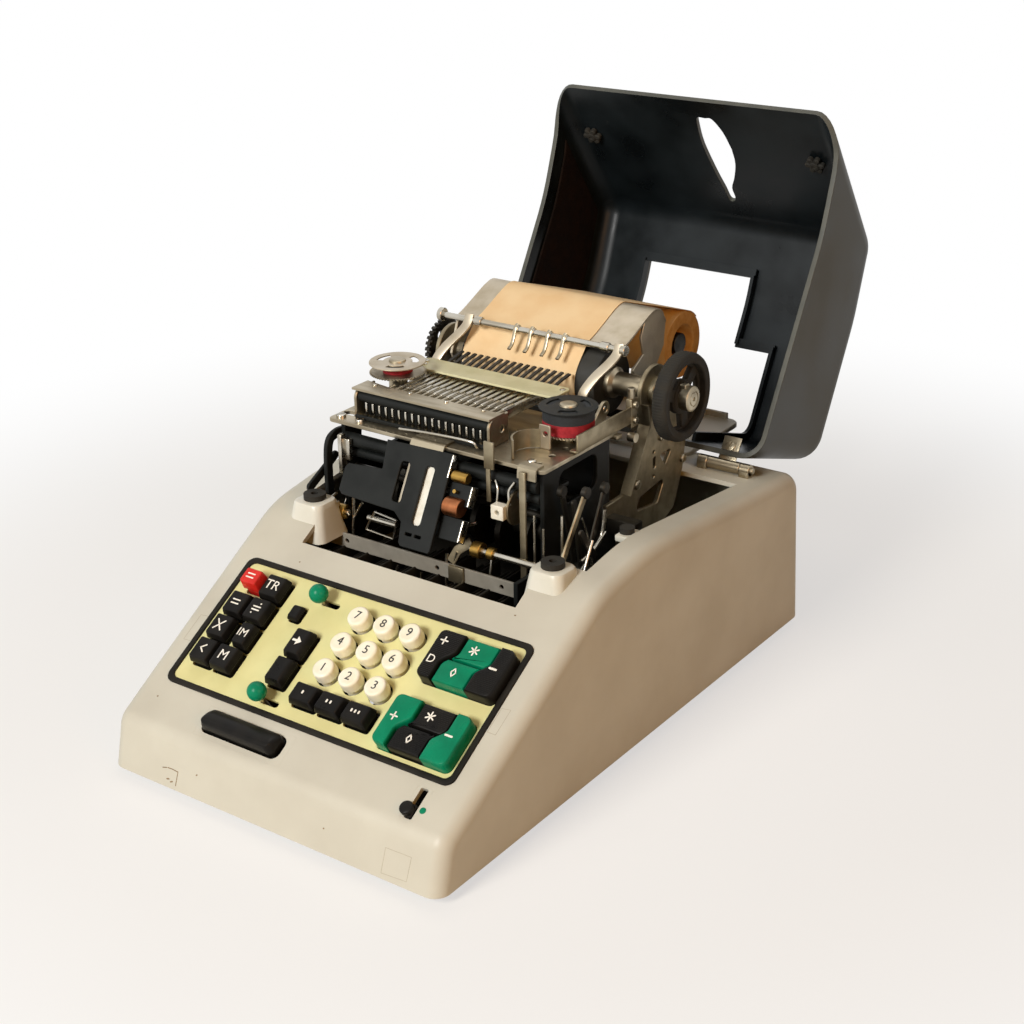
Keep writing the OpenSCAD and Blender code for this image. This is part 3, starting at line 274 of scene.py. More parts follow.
def oblong(w, l, r, per=6):
    """A rounded rectangle as a loop: four quarter circles of radius r about the corners of a smaller rectangle."""
    r = min(r, w / 2 - 1e-3, l / 2 - 1e-3)
    a = np.linspace(0, np.pi / 2, per)
    turns = (np.arange(4)[:, None] * np.pi / 2 + a).ravel()
    corner = np.repeat([[1, 1], [-1, 1], [-1, -1], [1, -1]], per, axis=0) * (w / 2 - r, l / 2 - r)
    return corner + r * np.c_[np.cos(turns), np.sin(turns)]


def rotated(loop, a):
    """A flat loop turned by the angle a about the origin."""
    return loop @ np.array([[math.cos(a), math.sin(a)], [-math.sin(a), math.cos(a)]])


def swept(path, section, side=(1, 0, 0)):
    """A section along a path: P(i, k) = path_i + a_k * across_i + b_k * up_i, with up square to path and side."""
    path, section = np.asarray(path, float), np.asarray(section, float)
    along = unit(np.gradient(path, axis=0))
    up = unit(np.cross(along, side))
    across = np.cross(up, along)
    return lofted(path[:, None] + section[None, :, :1] * across[:, None] + section[None, :, 1:] * up[:, None])


def smooth(points, per=8):
    """A curve through the points: between two of them a cubic that keeps their neighbours' direction (Catmull-Rom)."""
    p = np.asarray(points, float)
    p = np.vstack([2 * p[0] - p[1], p, 2 * p[-1] - p[-2]])
    a, b, c, d = p[:-3], p[1:-2], p[2:-1], p[3:]
    t = np.linspace(0, 1, per, endpoint=False)[:, None, None]
    curve = 0.5 * (2 * b + (c - a) * t + (2 * a - 5 * b + 4 * c - d) * t**2 + (3 * b - a - 3 * c + d) * t**3)
    return np.vstack([curve.transpose(1, 0, 2).reshape(-1, p.shape[1]), p[-2:-1]])


# %% Plates and signs from flat curves
def flattened(curve):
    """The points and triangles of a flat curve or a text, once it is made a mesh."""
    thing = bpy.data.objects.new("flat", curve)
    mesh = bpy.data.meshes.new_from_object(thing)
    points = np.empty(len(mesh.vertices) * 3)
    mesh.vertices.foreach_get("co", points)
    mesh.calc_loop_triangles()
    corners = np.empty(len(mesh.loop_triangles) * 3, dtype=np.int32)
    mesh.loop_triangles.foreach_get("vertices", corners)
    bpy.data.objects.remove(thing)
    bpy.data.meshes.remove(mesh)
    return points.reshape(-1, 3), [corners.reshape(-1, 3)]


def plate(loops, thick, edge=0.25):
    """A pressed plate from z = 0 up: the first loop is its outline, the others are holes; its edges are rounded."""
    curve = bpy.data.curves.new("plate", "CURVE")
    curve.dimensions, curve.fill_mode = "2D", "BOTH"
    for loop in loops:
        loop = np.asarray(loop, float)
        spline = curve.splines.new("POLY")
        spline.points.add(len(loop) - 1)
        spline.points.foreach_set("co", np.c_[loop, np.zeros(len(loop)), np.ones(len(loop))].ravel())
        spline.use_cyclic_u = True
    curve.extrude, curve.bevel_depth, curve.bevel_resolution, curve.offset = thick / 2 - edge, edge, 0, -edge
    return moved(flattened(curve), (0, 0, thick / 2))


def along_x(shape, x):
    """Stands a plate drawn in (y, z) upright, its thickness along X from x on."""
    points, faces = shape
    return np.c_[points[:, 2] + x, points[:, 0], points[:, 1]], faces


def facing_front(shape, at):
    """Stands a plate drawn in (x, z) upright at a place, its thickness towards the front."""
    points, faces = shape
    return np.c_[points[:, 0] + at[0], at[1] - points[:, 2], points[:, 1] + at[2]], faces


def lettered(text, size):
    """A word or digit as a thin flat solid, centred on the origin."""
    words = bpy.data.curves.new("sign", "FONT")
    words.body, words.size, words.extrude, words.align_x, words.align_y = text, size, 0.06, "CENTER", "CENTER"
    words.resolution_u = 4
    return flattened(words)


# %% Putting a shape into the scene
def piece(name, layers, body, slot, replaces=(), bend=28.0, closed=True):
    """One object out of (shape, material) layers: doubles merged, faces outwards, smooth except at sharp bends."""
    points, faces = joined(*[shape for shape, _ in layers])
    mesh = bpy.data.meshes.new(name)
    mesh.from_pydata((points + FRONT) * MM, [], [face for quads in faces for face in quads.tolist()])
    counts = [sum(len(quads) for quads in shape[1]) for shape, _ in layers]
    mesh.polygons.foreach_set("material_index", np.repeat(np.arange(len(layers)), counts).astype(np.int32))
    for _, material in layers:
        mesh.materials.append(material)
    work = bmesh.new()
    work.from_mesh(mesh)
    bmesh.ops.remove_doubles(work, verts=work.verts, dist=2e-6)
    if closed:
        bmesh.ops.recalc_face_normals(work, faces=work.faces)
    work.to_mesh(mesh)
    work.free()
    mesh.shade_smooth()
    mesh.set_sharp_from_angle(angle=math.radians(bend))
    made = bpy.data.objects.new(name, mesh)
    scene.collection.objects.link(made)
    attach(made, body)
    if replaces:
        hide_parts(*replaces)
    print(name, len(mesh.vertices), "points on", body)
    return made


def walled(made, thick, soften):
    """Gives a skin its wall and soft edges, and keeps the shading of its flat faces flat."""
    wall = made.modifiers.new("wall", "SOLIDIFY")
    wall.thickness, wall.offset, wall.use_even_offset = thick * MM, -1.0, True
    soft = made.modifiers.new("edge", "BEVEL")
    soft.width, soft.segments, soft.limit_method, soft.angle_limit = soften * MM, 2, "ANGLE", math.radians(60)
    made.modifiers.new("shading", "WEIGHTED_NORMAL").keep_sharp = True
    return wall


# %% [markdown]
# ## The housing
# The real housing is a pressed or cast shell with softly rounded long edges. A hull of spheres would give that shape
# in facets. Here it is a surface of two parameters: t runs along the side outline, from the front edge up the slope
# and down the rear, and the second parameter runs from one side over the top to the other, with a quarter circle at
# each edge. Cells are left out where the well, the keyboard and the levers come through, and Solidify gives the wall.

# %% Side outline of the housing
def side_outline(corners, per=12):
    """Outline through (y, z, radius) corners: rows of y, z and the outward normal, with an arc at each radius."""
    c = np.asarray(corners, float)
    ahead = unit(np.diff(c[:, :2], axis=0))
    out = np.c_[-ahead[:, 1], ahead[:, 0]]
    rows = [[*c[0, :2], *out[0]]]
    for i in range(1, len(c) - 1):
        a0, a1 = np.arctan2(out[i - 1, 1], out[i - 1, 0]), np.arctan2(out[i, 1], out[i, 0])
        a = np.linspace(a0, a1, per)
        n = np.c_[np.cos(a), np.sin(a)]
        start = c[i, :2] - ahead[i - 1] * c[i, 2] * math.tan(abs(a1 - a0) / 2)
        rows += np.c_[start - c[i, 2] * out[i - 1] + c[i, 2] * n, n].tolist()
    return np.array(rows + [[*c[-1, :2], *out[-1]]])


def lengths(rows):
    """Length along an outline at each of its rows."""
    return np.r_[0, np.cumsum(np.linalg.norm(np.diff(rows[:, :2], axis=0), axis=1))]


def stations(rows, extra):
    """The outline's rows with more of them at the given lengths along it."""
    run = lengths(rows)
    at = np.unique(np.r_[run, extra].round(6))
    return np.column_stack([np.interp(at, run, column) for column in rows.T]), at


EDGE, LENGTH = 14.0, 398
SLOPE, SLOPE_Y, SLOPE_Z = math.radians(31), 33, 43.62
KEYS_S, SLOT_S = (1.8, 92.2), (-24.4, -4.5)
WELL_FRONT, WELL_STEP, WELL_REAR = 130.0, 166.0, 338.0
housing_rows = side_outline(
    [(0, 0, 0), (7, 28, EDGE), (149.96, 113.9, 70), (204.96, 122.5, 160), (390, 104, EDGE), (LENGTH, 0, 0)])
run = lengths(housing_rows)


def on_slope(points):
    """From keyboard places (x, s up the slope, n square to it) to the housing's x, y, z."""
    x, s, n = np.asarray(points, float).T
    c, d = math.cos(SLOPE), math.sin(SLOPE)
    return np.c_[x, SLOPE_Y + s * c - n * d, SLOPE_Z + s * d + n * c]


def run_at_y(y):
    """Length along the housing's outline at which it reaches y, on the upper side."""
    return np.interp(y, housing_rows[:-1, 0], run[:-1])


def top_z(y):
    """Height of the housing's outline at y."""
    return np.interp(y, housing_rows[:-1, 0], housing_rows[:-1, 1])


s_lines = np.array([*SLOT_S, *KEYS_S])
y_lines = on_slope(np.c_[0 * s_lines, s_lines, 0 * s_lines])[:, 1]
housing_rows, run = stations(housing_rows, run_at_y(np.r_[y_lines, WELL_FRONT, WELL_STEP, WELL_REAR]))
print("outline of", len(housing_rows), "rows,", round(run[-1]), "mm long")

# %% Housing surface with its openings
def over_the_top(half, radius, lines):
    """Places across the shell: x and how far it draws in, from the right face over a quarter circle to the left."""
    phi = np.linspace(0, np.pi / 2, 9)[::-1]
    x, draw = half - radius + radius * np.sin(phi), radius * (1 - np.cos(phi))
    return np.r_[x, lines, -x[::-1]], np.r_[draw, 0 * lines, draw[::-1]]


def drawn_in(x, rows, draw):
    """P(t, v) = outline point minus draw times its normal, at x."""
    y, z = rows[..., 0] - draw * rows[..., 2], rows[..., 1] - draw * rows[..., 3]
    return np.stack([np.broadcast_to(x, y.shape), y, z], axis=-1)


def hole_patch(loop, box):
    """Faces between a rectangle and a rounder hole: each corner fans out to the nearest quarter of the hole."""
    corners = np.array([[box[1], box[3]], [box[0], box[3]], [box[0], box[2]], [box[1], box[2]]])
    middle = np.mean([corners[0], corners[2]], axis=0)
    quarter = ((np.arctan2(*(loop - middle).T[::-1]) % (2 * np.pi)) // (np.pi / 2)).astype(int)
    n = len(loop)
    i, j = np.arange(n), (np.arange(n) + 1) % n
    same = quarter[i] == quarter[j]
    fans = np.c_[i, n + quarter[i], j][same]
    gaps = np.c_[i, n + quarter[i], n + quarter[j], j][~same]
    flat = np.vstack([loop, corners])
    return np.c_[flat, np.zeros(len(flat))], [fans, gaps]


def between(values, low, high):
    return (values > low) & (values < high)


HALF, SIDE_R, BOW, SKIRT = 122.5, 9, 2.5, 2.5
KEYS_X, WELL_X, THROAT_X, BAR_X, LEVER_X = 104.9, 104.0, 80.0, (-64.6, 1.4), (88.0, 98.0)
lines = np.array([KEYS_X, WELL_X, *LEVER_X[::-1], THROAT_X, *BAR_X[::-1], -THROAT_X, -WELL_X, -KEYS_X])
x, draw = over_the_top(HALF, SIDE_R, lines)
P = drawn_in(x, housing_rows[:, None, :], draw)
for end, inner in ((0, 1), (-1, -2)):
    lean = (P[inner, :, 1:] - P[end, :, 1:]) / (P[inner, :, 2:] - P[end, :, 2:])
    P[end, :, 1:] -= lean * (P[end, :, 2:] + SKIRT)
outward = np.sign(x) * np.clip((abs(x) - KEYS_X) / 8.6, 0, 1)
P[..., 0] += BOW * outward * np.sin(np.pi * np.clip(P[..., 1] / LENGTH, 0, 1)) ** 0.7
mid_x = (x[:-1] + x[1:]) / 2
mid_y = ((housing_rows[:-1, 0] + housing_rows[1:, 0]) / 2)[:, None]
mid_s = (mid_y - SLOPE_Y) / math.cos(SLOPE)
upper = (housing_rows[:-1, 3] > 0.5)[:, None]
throat = (abs(mid_x) < THROAT_X) & between(mid_y, WELL_FRONT, WELL_STEP)
well = (abs(mid_x) < WELL_X) & between(mid_y, WELL_STEP, WELL_REAR)
keyboard = (abs(mid_x) < KEYS_X) & between(mid_s, *KEYS_S)
slots = (between(mid_x, *BAR_X) | between(mid_x, *LEVER_X)) & between(mid_s, *SLOT_S)
skin = grid(P, keep=~(upper & (throat | well | keyboard | slots)))
ends = np.arange(P.shape[0]) * P.shape[1]
skin[1].extend([ends[None, ::-1], ends[None] + P.shape[1] - 1])
bar_cut = hole_patch(oblong(59.4, 15, 5) + (-32.2, -14), (*BAR_X, *SLOT_S))
lever_cut = hole_patch(oblong(5, 19, 1) + (93, -14.5), (*LEVER_X, *SLOT_S))
cuts = joined(bar_cut, lever_cut)
cuts = on_slope(cuts[0]), cuts[1]
housing = piece("housing_shell", [(skin, enamel), (cuts, enamel)], "chassis", "housing_enamel", closed=False)
walled(housing, 3, 0.5)

# %% [markdown]
# ## Posts, ledges and tray
# Two tapered posts carry the rubber pads on which the closed cover rests. They are castings with a rounded rectangle
# for a section, so they are stacked loops that draw in as they rise. Behind the rear wall a flat tray carries the
# paper roll.

# %% Fittings of the housing
def post(x):
    """A pedestal: rounded rectangles that draw in over its height and roll over at the top."""
    levels = [(31, 29, 97), (27.4, 25.6, 105), (23.6, 22, 116), (22.6, 21, 118.6), (21.4, 19.8, 119.8),
        (19, 17.4, 120.4)]
    return moved(lofted(tiers((oblong(w, l, 6, 8), z) for w, l, z in levels)), (x, 154, 0))


def slab(x, y, z, edge=0.6):
    """A block with rounded edges: a stack of rounded rectangles that draw in at the top and bottom."""
    w, l, h = x[1] - x[0], y[1] - y[0], z[1] - z[0]
    steps = [(edge, 0), (edge * 0.3, edge * 0.3), (0, edge), (0, h - edge), (edge * 0.3, h - edge * 0.3), (edge, h)]
    loops = tiers((oblong(w - 2 * d, l - 2 * d, max(edge, 0.05), 4), up) for d, up in steps)
    return moved(lofted(loops), ((x[0] + x[1]) / 2, (y[0] + y[1]) / 2, z[0]))


fittings = [post(89.3), post(-89.3)]
ledge_z = float(top_z(215.96)) - 0.6
fittings += [slab((x0, x0 + 11), (208.96, 222.96), (ledge_z - 4, ledge_z)) for x0 in (95, -106)]
tray_z = float(top_z(375)) + 3.3
tray = moved(plate([oblong(140, 76, 8)], 3.5, 0.6), (-20, 402, tray_z - 3.5))
tray_rim = slab((-80, 40), (437, 440), (tray_z - 1, tray_z + 4))
# The posts and ledges get the paler copy of the enamel, which is painted light.
piece("posts_and_ledges", [(shape, painted_lit_enamel) for shape in fittings], "chassis", "housing_enamel")
piece("roll_tray", [(joined(tray, tray_rim), enamel)], "chassis", "housing_enamel", ("base_housing",))

# %% [markdown]
# ## The cover
# The cover is a moulded hood with big round edges. It gets the same two-parameter surface as the housing, built as if
# closed, with its lower rim clipped to the housing's outline, and is then turned about the hinge to stand open. The
# paper window and its wide gate are cells left out, and the leaf-shaped slot is a round hole patched into a flat wall.

# %% Cover outline and its rim
HINGE, OPEN = np.array([356, 111.966]), math.radians(-114.8)
LEAF_Z, LEAF_X, WINDOW_X, GATE_X = (112, 194), (-12.0, 24.0), (-62.0, 25.0), (-94, 53.0)
cover_rows = side_outline([(104.3, 72.3, 0), (184, 207.5, 20), (240, 212.5, 120), (340, 205, 20), (352.53, 81.78, 0)])
crun = lengths(cover_rows)
on_top, on_rear = cover_rows[:, 3] > 0.8, cover_rows[:, 2] > 0.95
window_run = np.interp([221, 272], cover_rows[on_top, 0], crun[on_top])
sill_run = np.interp(-119.97, -cover_rows[on_rear, 1], crun[on_rear])
leaf_run = np.interp(LEAF_Z, cover_rows[:2, 1], crun[:2])
cover_rows, crun = stations(cover_rows, np.r_[window_run, sill_run, leaf_run])


def cover_row(length):
    """Outline point and normal of the closed cover at a length along its outline."""
    return np.stack([np.interp(length, crun, column) for column in cover_rows.T], axis=-1)


def opened(shape):
    """Turns a shape of the closed cover about the hinge axis until it stands open."""
    y, z = (shape[0][:, 1:] - HINGE).T
    c, d = math.cos(OPEN), math.sin(OPEN)
    return np.c_[shape[0][:, 0], HINGE[0] + y * c - z * d, HINGE[1] + y * d + z * c], shape[1]


def rim_z(y):
    """Height of the closed cover's rim: just above the housing, and a little higher towards the front."""
    return top_z(y) + 0.8 + 6.2 * np.clip((220 - y) / 100, 0, 1)


x, draw = over_the_top(110, 16, np.array([GATE_X[1], WINDOW_X[1], *LEAF_X[::-1], WINDOW_X[0]]))
long = np.linspace(0, crun[-1], 4000)[:, None]
trial = drawn_in(x, cover_row(long), draw)
clear_of_housing = trial[..., 2] > rim_z(trial[..., 1])
rim_front = long[np.argmax(clear_of_housing, axis=0), 0]
rim_rear = long[-1 - np.argmax(clear_of_housing[::-1], axis=0), 0]
print("cover outline", round(crun[-1]), "mm, rim from", rim_front.min().round(1), "to", rim_rear.max().round(1))

# %% Cover surface
P = drawn_in(x, cover_row(np.clip(crun[:, None], rim_front, rim_rear)), draw)
mid_x, mid_run = (x[:-1] + x[1:]) / 2, ((crun[:-1] + crun[1:]) / 2)[:, None]
window = between(mid_x, *WINDOW_X) & between(mid_run, *window_run)
gate = between(mid_x, *GATE_X) & between(mid_run, window_run[1], sill_run)
leaf_box = between(mid_x, *LEAF_X) & between(mid_run, *leaf_run)
hood = grid(P, keep=~(window | gate | leaf_box))
leaf = smooth([
    (20.6, 141), (19.4, 153), (14.2, 166), (9.4, 175), (9.2, 183), (7.2, 187), (3.6, 186.4), (2.6, 178), (0.2, 163),
    (-1.6, 142), (-0.2, 127), (2.2, 118.4), (8, 118), (13.4, 118.4), (18.4, 128), (20.6, 141)], 4)[:-1]
leaf[:, 1] = np.interp(leaf[:, 1], LEAF_Z, leaf_run)
leaf_cut = hole_patch(leaf, (*LEAF_X, *leaf_run))
leaf_cut = np.c_[leaf_cut[0][:, 0], cover_row(leaf_cut[0][:, 1])[:, :2]], leaf_cut[1]


def cheek(column, order):
    """Flat side of the hood: one face round the drawn-in outline and back along the rim."""
    edge = P[:, column]
    y = np.linspace(edge[-1, 1], edge[0, 1], 24)[1:-1]
    loop = np.vstack([edge, np.c_[np.full(22, edge[0, 0]), y, rim_z(y)]])
    return loop, [np.arange(len(loop))[None, ::order]]


hood = opened(joined(hood, leaf_cut, cheek(0, -1), cheek(-1, 1)))
cover = piece("cover_hood", [(hood, cover_skin)], "cover", "cover_plastic", ("cover_shell",), closed=False)
cover.data.materials.append(cover_inner)
cover.data.materials.append(cover_edge)
wall = walled(cover, 3.5, 0.6)
wall.material_offset, wall.material_offset_rim = 1, 2

# %% Window flange and felt lining
def under_cover(x, length):
    """Points on the closed cover at x and a length along its outline, at the flange's depth below its outer face."""
    return drawn_in(np.broadcast_to(x, length.shape), cover_row(length), 6.4)


HALF_BAR = 1.25
frame_bar = np.array([(-HALF_BAR, -3.2), (HALF_BAR, -3.2), (HALF_BAR, 3.2), (-HALF_BAR, 3.2)])
flange = [swept(under_cover(x0, np.linspace(*window_run, 8)), frame_bar) for x0 in (26.25, -63.25)]
flange.append(swept(under_cover(54.25, np.linspace(window_run[1] - 2.5, sill_run, 40)), frame_bar))
for x0, x1, across in ((-64.5, 27.5, window_run[0]), (25, 55.5, window_run[1]), (-92, -62, window_run[1])):
    line = under_cover(np.linspace(x0, x1, 4), np.full(4, across - HALF_BAR))
    flange.append(swept(line, frame_bar[:, ::-1], (0, 1, 0)))
piece("window_flange", [(opened(joined(*flange)), cover_inner)], "cover", "cover_plastic")
lining = drawn_in(-106.4, cover_row(np.linspace(rim_front[-1] + 14, rim_rear[-1] - 10, 60)), 17.5)[:, 1:]
low = np.linspace(lining[-1, 0], lining[0, 0], 20)[1:-1]
lining = along_x(plate([np.vstack([lining, np.c_[low, rim_z(low) + 11]])[::-1]], 1.6, 0.4), -106.3)
piece("felt_lining", [(opened(lining), felt)], "cover", "cover_plastic")

# %% [markdown]
# ## Trim and key caps
# Round the keyboard lies a vinyl trim with soft edges. Keys are moulded caps: a stack of rounded rectangles that rises
# from a slim stem, draws in towards the top, rolls over a small edge and sinks into a shallow dish for the finger. All
# of this is drawn on the slope, in x across, s up the slope and n square to it, and then laid onto the housing.

# %% Trim and cap shapes
STEM, BURIED = 1.1, -8


def stacked(levels, w, l, r, per=6):
    """Rounded rectangles at (draw-in, height) levels as one stack of loops."""
    return tiers((oblong(w - 2 * d, l - 2 * d, max(r - 0.5 * d, 0.3), per), n) for d, n in levels)


def laid(shape, x=0.0, s=0.0, n=0.0):
    """Lays a shape drawn in (x, s, n) onto the keyboard slope."""
    return on_slope(shape[0] + (x, s, n)), shape[1]


def cap(w, l, h, taper, dish=0.1, r=1.6):
    """A key cap: stem, overhanging foot, tapered wall, rolled edge, and a dish that flattens out towards its middle."""
    inner = min(w, l) / 2 - 0.4
    rim = taper + 0.9
    way = np.linspace(0, 1, 6)[1:]
    foot = h * 0.36
    levels = [(STEM, BURIED), (STEM, foot), (0.3, foot + 0.2), (0, foot + 0.6), (0.1, foot + 1.0)]
    levels += [(taper * 0.8, h - 1.0), (taper, h - 0.5), (taper + 0.3, h - 0.15), (rim, h)]
    levels += np.c_[rim + (inner - rim) * way, h - dish * (1 - (1 - way) ** 2)].tolist()
    return lofted(stacked(levels, w, l, r))


section = [(0, 0), (0, 0.8), (0.3, 1.2), (0.9, 1.4), (2.7, 1.4), (3.3, 1.2), (3.6, 0.8), (3.6, 0)]
trim = grid(stacked(section, 213.4, 94, 6, 8), wrap_u=True, wrap_v=True)
piece("vinyl_trim", [(laid(trim, 0, 47), trim_vinyl)], "chassis", "trim_plastic", ("panel_trim",))

# %% [markdown]
# ## Signs
# The signs are filled engravings: thin flat solids just proud of the dish. Digits and letters come from Blender's own
# font. Plus, minus and the rest are round-ended strokes.

# %% Sign shapes
def strokes(lines, w=0.9):
    """A sign of flat round-ended strokes, each an oblong from (x0, y0) to (x1, y1)."""
    shapes = []
    for x0, y0, x1, y1 in lines:
        loop = oblong(math.hypot(x1 - x0, y1 - y0) + w, w, w / 2, 4)
        loop = rotated(loop, math.atan2(y1 - y0, x1 - x0)) + ((x0 + x1) / 2, (y0 + y1) / 2)
        shapes.append(lofted(tiers((loop, n) for n in (-0.06, 0.06))))
    return joined(*shapes)


def dots(places, w):
    """Short upright strokes side by side."""
    return strokes([(x, -0.5, x, 0.5) for x in places], w)


reach = [(2.8 * math.cos(a), 2.8 * math.sin(a)) for a in np.radians([30, 90, 150])]
arrow = [(-3.2, -0.7), (-0.2, -0.7), (-0.2, -3.0), (3.4, 0), (-0.2, 3.0), (-0.2, 0.7), (-3.2, 0.7)]
SIGNS = {
    "=": strokes([(-2.6, 1.3, 2.6, 1.3), (-2.6, -1.3, 2.6, -1.3)]),
    "+": strokes([(-2.3, 0, 2.3, 0), (0, -2.3, 0, 2.3)]),
    "-": strokes([(-2.1, 0, 2.1, 0)], 1.3),
    "x": strokes([(-2.8, -3.3, 2.8, 3.3), (-2.8, 3.3, 2.8, -3.3)]),
    "<": strokes([(1.5, 2.5, -1.5, 0), (-1.5, 0, 1.5, -2.5)]),
    "/": strokes([(-2.6, 1.1, 2.6, 1.1), (-2.6, -1.1, 2.6, -1.1), (1.5, 3.5, 1.7, 3.5), (-1.7, -3.5, -1.5, -3.5)]),
    "*": strokes([(-x, -y, x, y) for x, y in reach]),
    "o": strokes([(-1.5, 0, 0, 2.6), (0, 2.6, 1.5, 0), (1.5, 0, 0, -2.6), (0, -2.6, -1.5, 0)], 0.8),
    ">": moved(plate([arrow], 0.12, 0.02), (0, 0, -0.06)),
    ".": dots([0], 1.3),
    "..": dots([-1.4, 1.4], 1.2),
    "...": dots([-2.6, 0, 2.6], 1.2),
}


def sign_shape(sign, size):
    return SIGNS[sign] if sign in SIGNS else lettered(sign, size)


print("signs drawn", len(SIGNS))

# %% Box keys
openings = []
BLACK, GREEN, RED = (black_key, "black_plastic"), (green_key, "green_plastic"), (red_key, "red_plastic")


def box_key(name, x, s, w, l, h, look, sign=None, size=9.0, taper=1.3):
    """A cap with its sign on top. Its opening in the panel is noted for later."""
    layers = [(laid(cap(w, l, h, taper), x, s), look[0])]
    openings.append(oblong(w + 0.5, l + 0.5, 1.8) + (x, s))
    if sign:
        layers.append((laid(sign_shape(sign, size), x, s, h), white_sign))
    piece(name + "_cap", layers, name, look[1], (name,))


for i, (name, sign) in enumerate((("key_less", "<"), ("key_multiply", "x"), ("key_equals", "="))):
    box_key(name, -88.1, 23.3 + 17.4 * i, 15.2, 16.5, 9, BLACK, sign)
box_key("key_red_equals", -87.1, 75.6, 13.4, 11.5, 12.5, RED, "=", taper=0.9)
for name, s, sign in (("key_memory", 23.3, "M"), ("key_divide", 58.1, "/"), ("key_transfer", 75.5, "TR")):
    box_key(name, -71.6, s, 15.6, 16.5, 9, BLACK, sign)
box_key("key_memory_in", -69.3, 40.7, 11, 16.5, 9, BLACK, "IM", 7.6)
box_key("key_small", -49, 66, 8.6, 10.4, 5, BLACK, taper=1.0)
box_key("key_arrow", -31.4, 47.2, 13.4, 19.4, 9, BLACK, ">", taper=1.7)
box_key("key_blank", -31.6, 27.4, 13.4, 18.6, 9, BLACK, taper=1.7)
for i, (name, sign) in enumerate((("key_zero", "."), ("key_double_zero", ".."), ("key_triple_zero", "..."))):
    box_key(name, -6.4 + 19.3 * i, 18.8, 18, 14, 9, BLACK, sign, taper=1.7)

# %% [markdown]
# ## Number keys
# Each is a short round cap with a dished top on a slimmer stem, so it is a turned profile. The digit is filled in
# black.

# %% Number keys
profile = [
    (BURIED, 0), (BURIED, 5.9), (1.0, 5.9), (1.6, 6.6), (2.2, 6.95), (7.4, 6.75), (8.2, 6.55), (8.75, 6.05), (9.0,
        5.4),
    (8.95, 4.6), (8.8, 3), (8.72, 1.6), (8.7, 0)]
for digit in range(1, 10):
    x, s = -4.5 + 19 * ((digit - 1) % 3), 37 + 18.6 * ((digit - 1) // 3)
    layers = [(laid(upright(profile, 48), x, s), ivory_key), (laid(lettered(str(digit), 7.6), x, s, 8.92), dark_sign)]
    openings.append(circle(7.4, 40) + (x, s))
    piece(f"key_{digit}_cap", layers, f"key_{digit}", "ivory_plastic", (f"key_{digit}",), bend=30)

# %% [markdown]
# ## Key clusters
# Plus and minus embrace the two total keys with an edge that swings over in an S. The swing is a sine of the place up
# the slope. Black tops are moulded with fine ribs for grip, each rib a thin wedge from edge to edge.

# %% Cluster outlines and ribs
def swing(s):
    return 3.4 * np.sin(np.pi / 2 * np.clip(s / 5.3, -1, 1))


def cluster_outline(part):
    """Outline of one of a cluster's four keys, anticlockwise: S-shaped inner edges and rounded outer corners."""
    if part in ("total", "subtotal"):
        s = np.linspace(0.5, 15.4, 18) if part == "total" else np.linspace(-15.4, -0.5, 18)
        return np.vstack([np.c_[11 + swing(s), s], np.c_[-11 + swing(s), s][::-1]])
    s = np.linspace(-15.9, 15.9, 36)
    a = np.linspace(np.pi / 2, np.pi, 7)
    upper = np.c_[-21.6 + 4 * np.cos(a), 11.9 + 4 * np.sin(a)]
    left = np.vstack([np.c_[-12.1 + swing(s), s], upper, (upper * (1, -1))[::-1]])
    return left if part == "plus" else -left


def inset(loop, d):
    """The loop moved inwards by d, along the mean of its two edge normals at each point."""
    edge = np.roll(loop, -1, axis=0) - loop
    n = np.c_[-edge[:, 1], edge[:, 0]] / np.linalg.norm(edge, axis=1, keepdims=True)
    before = np.roll(n, 1, axis=0)
    return loop + d * (n + before) / np.maximum(1 + np.sum(n * before, axis=1, keepdims=True), 0.4)


def ribs(loop, h):
    """Wedges across a top: for each s the loop's two crossings give the ends, the section is a low triangle."""
    s = np.arange(loop[:, 1].min() + 0.6, loop[:, 1].max() - 0.4, 1.1)[:, None]
    a, b = loop, np.roll(loop, -1, axis=0)
    rise = b[:, 1] - a[:, 1]
    crosses = (a[:, 1] - s) * (b[:, 1] - s) < 0
    x = a[:, 0] + (b[:, 0] - a[:, 0]) * (s - a[:, 1]) / np.where(abs(rise) < 1e-9, 1, rise)
    ends = np.stack([np.where(crosses, x, 1e9).min(1) + 0.2, np.where(crosses, x, -1e9).max(1) - 0.2], axis=1)
    section = np.array([(-0.32, -0.05), (0.32, -0.05), (0, 0.22)])
    wedge = np.stack(np.broadcast_arrays(ends[:, :, None], s[:, :, None] + section[:, 0], h + section[:, 1]), axis=-1)
    start = 6 * np.arange(len(s))[:, None, None]
    quads = start + np.array([(0, 3, 5, 2), (1, 2, 5, 4), (0, 1, 4, 3)])
    tips = start + np.array([(0, 2, 1), (3, 4, 5)])
    return wedge.reshape(-1, 3), [quads.reshape(-1, 4), tips.reshape(-1, 3)]


print("a cluster's outer key has", len(cluster_outline("plus")), "points")

# %% Cluster keys
CLUSTER = {"upper": (77, 67.6), "lower": (75.6, 22.6)}


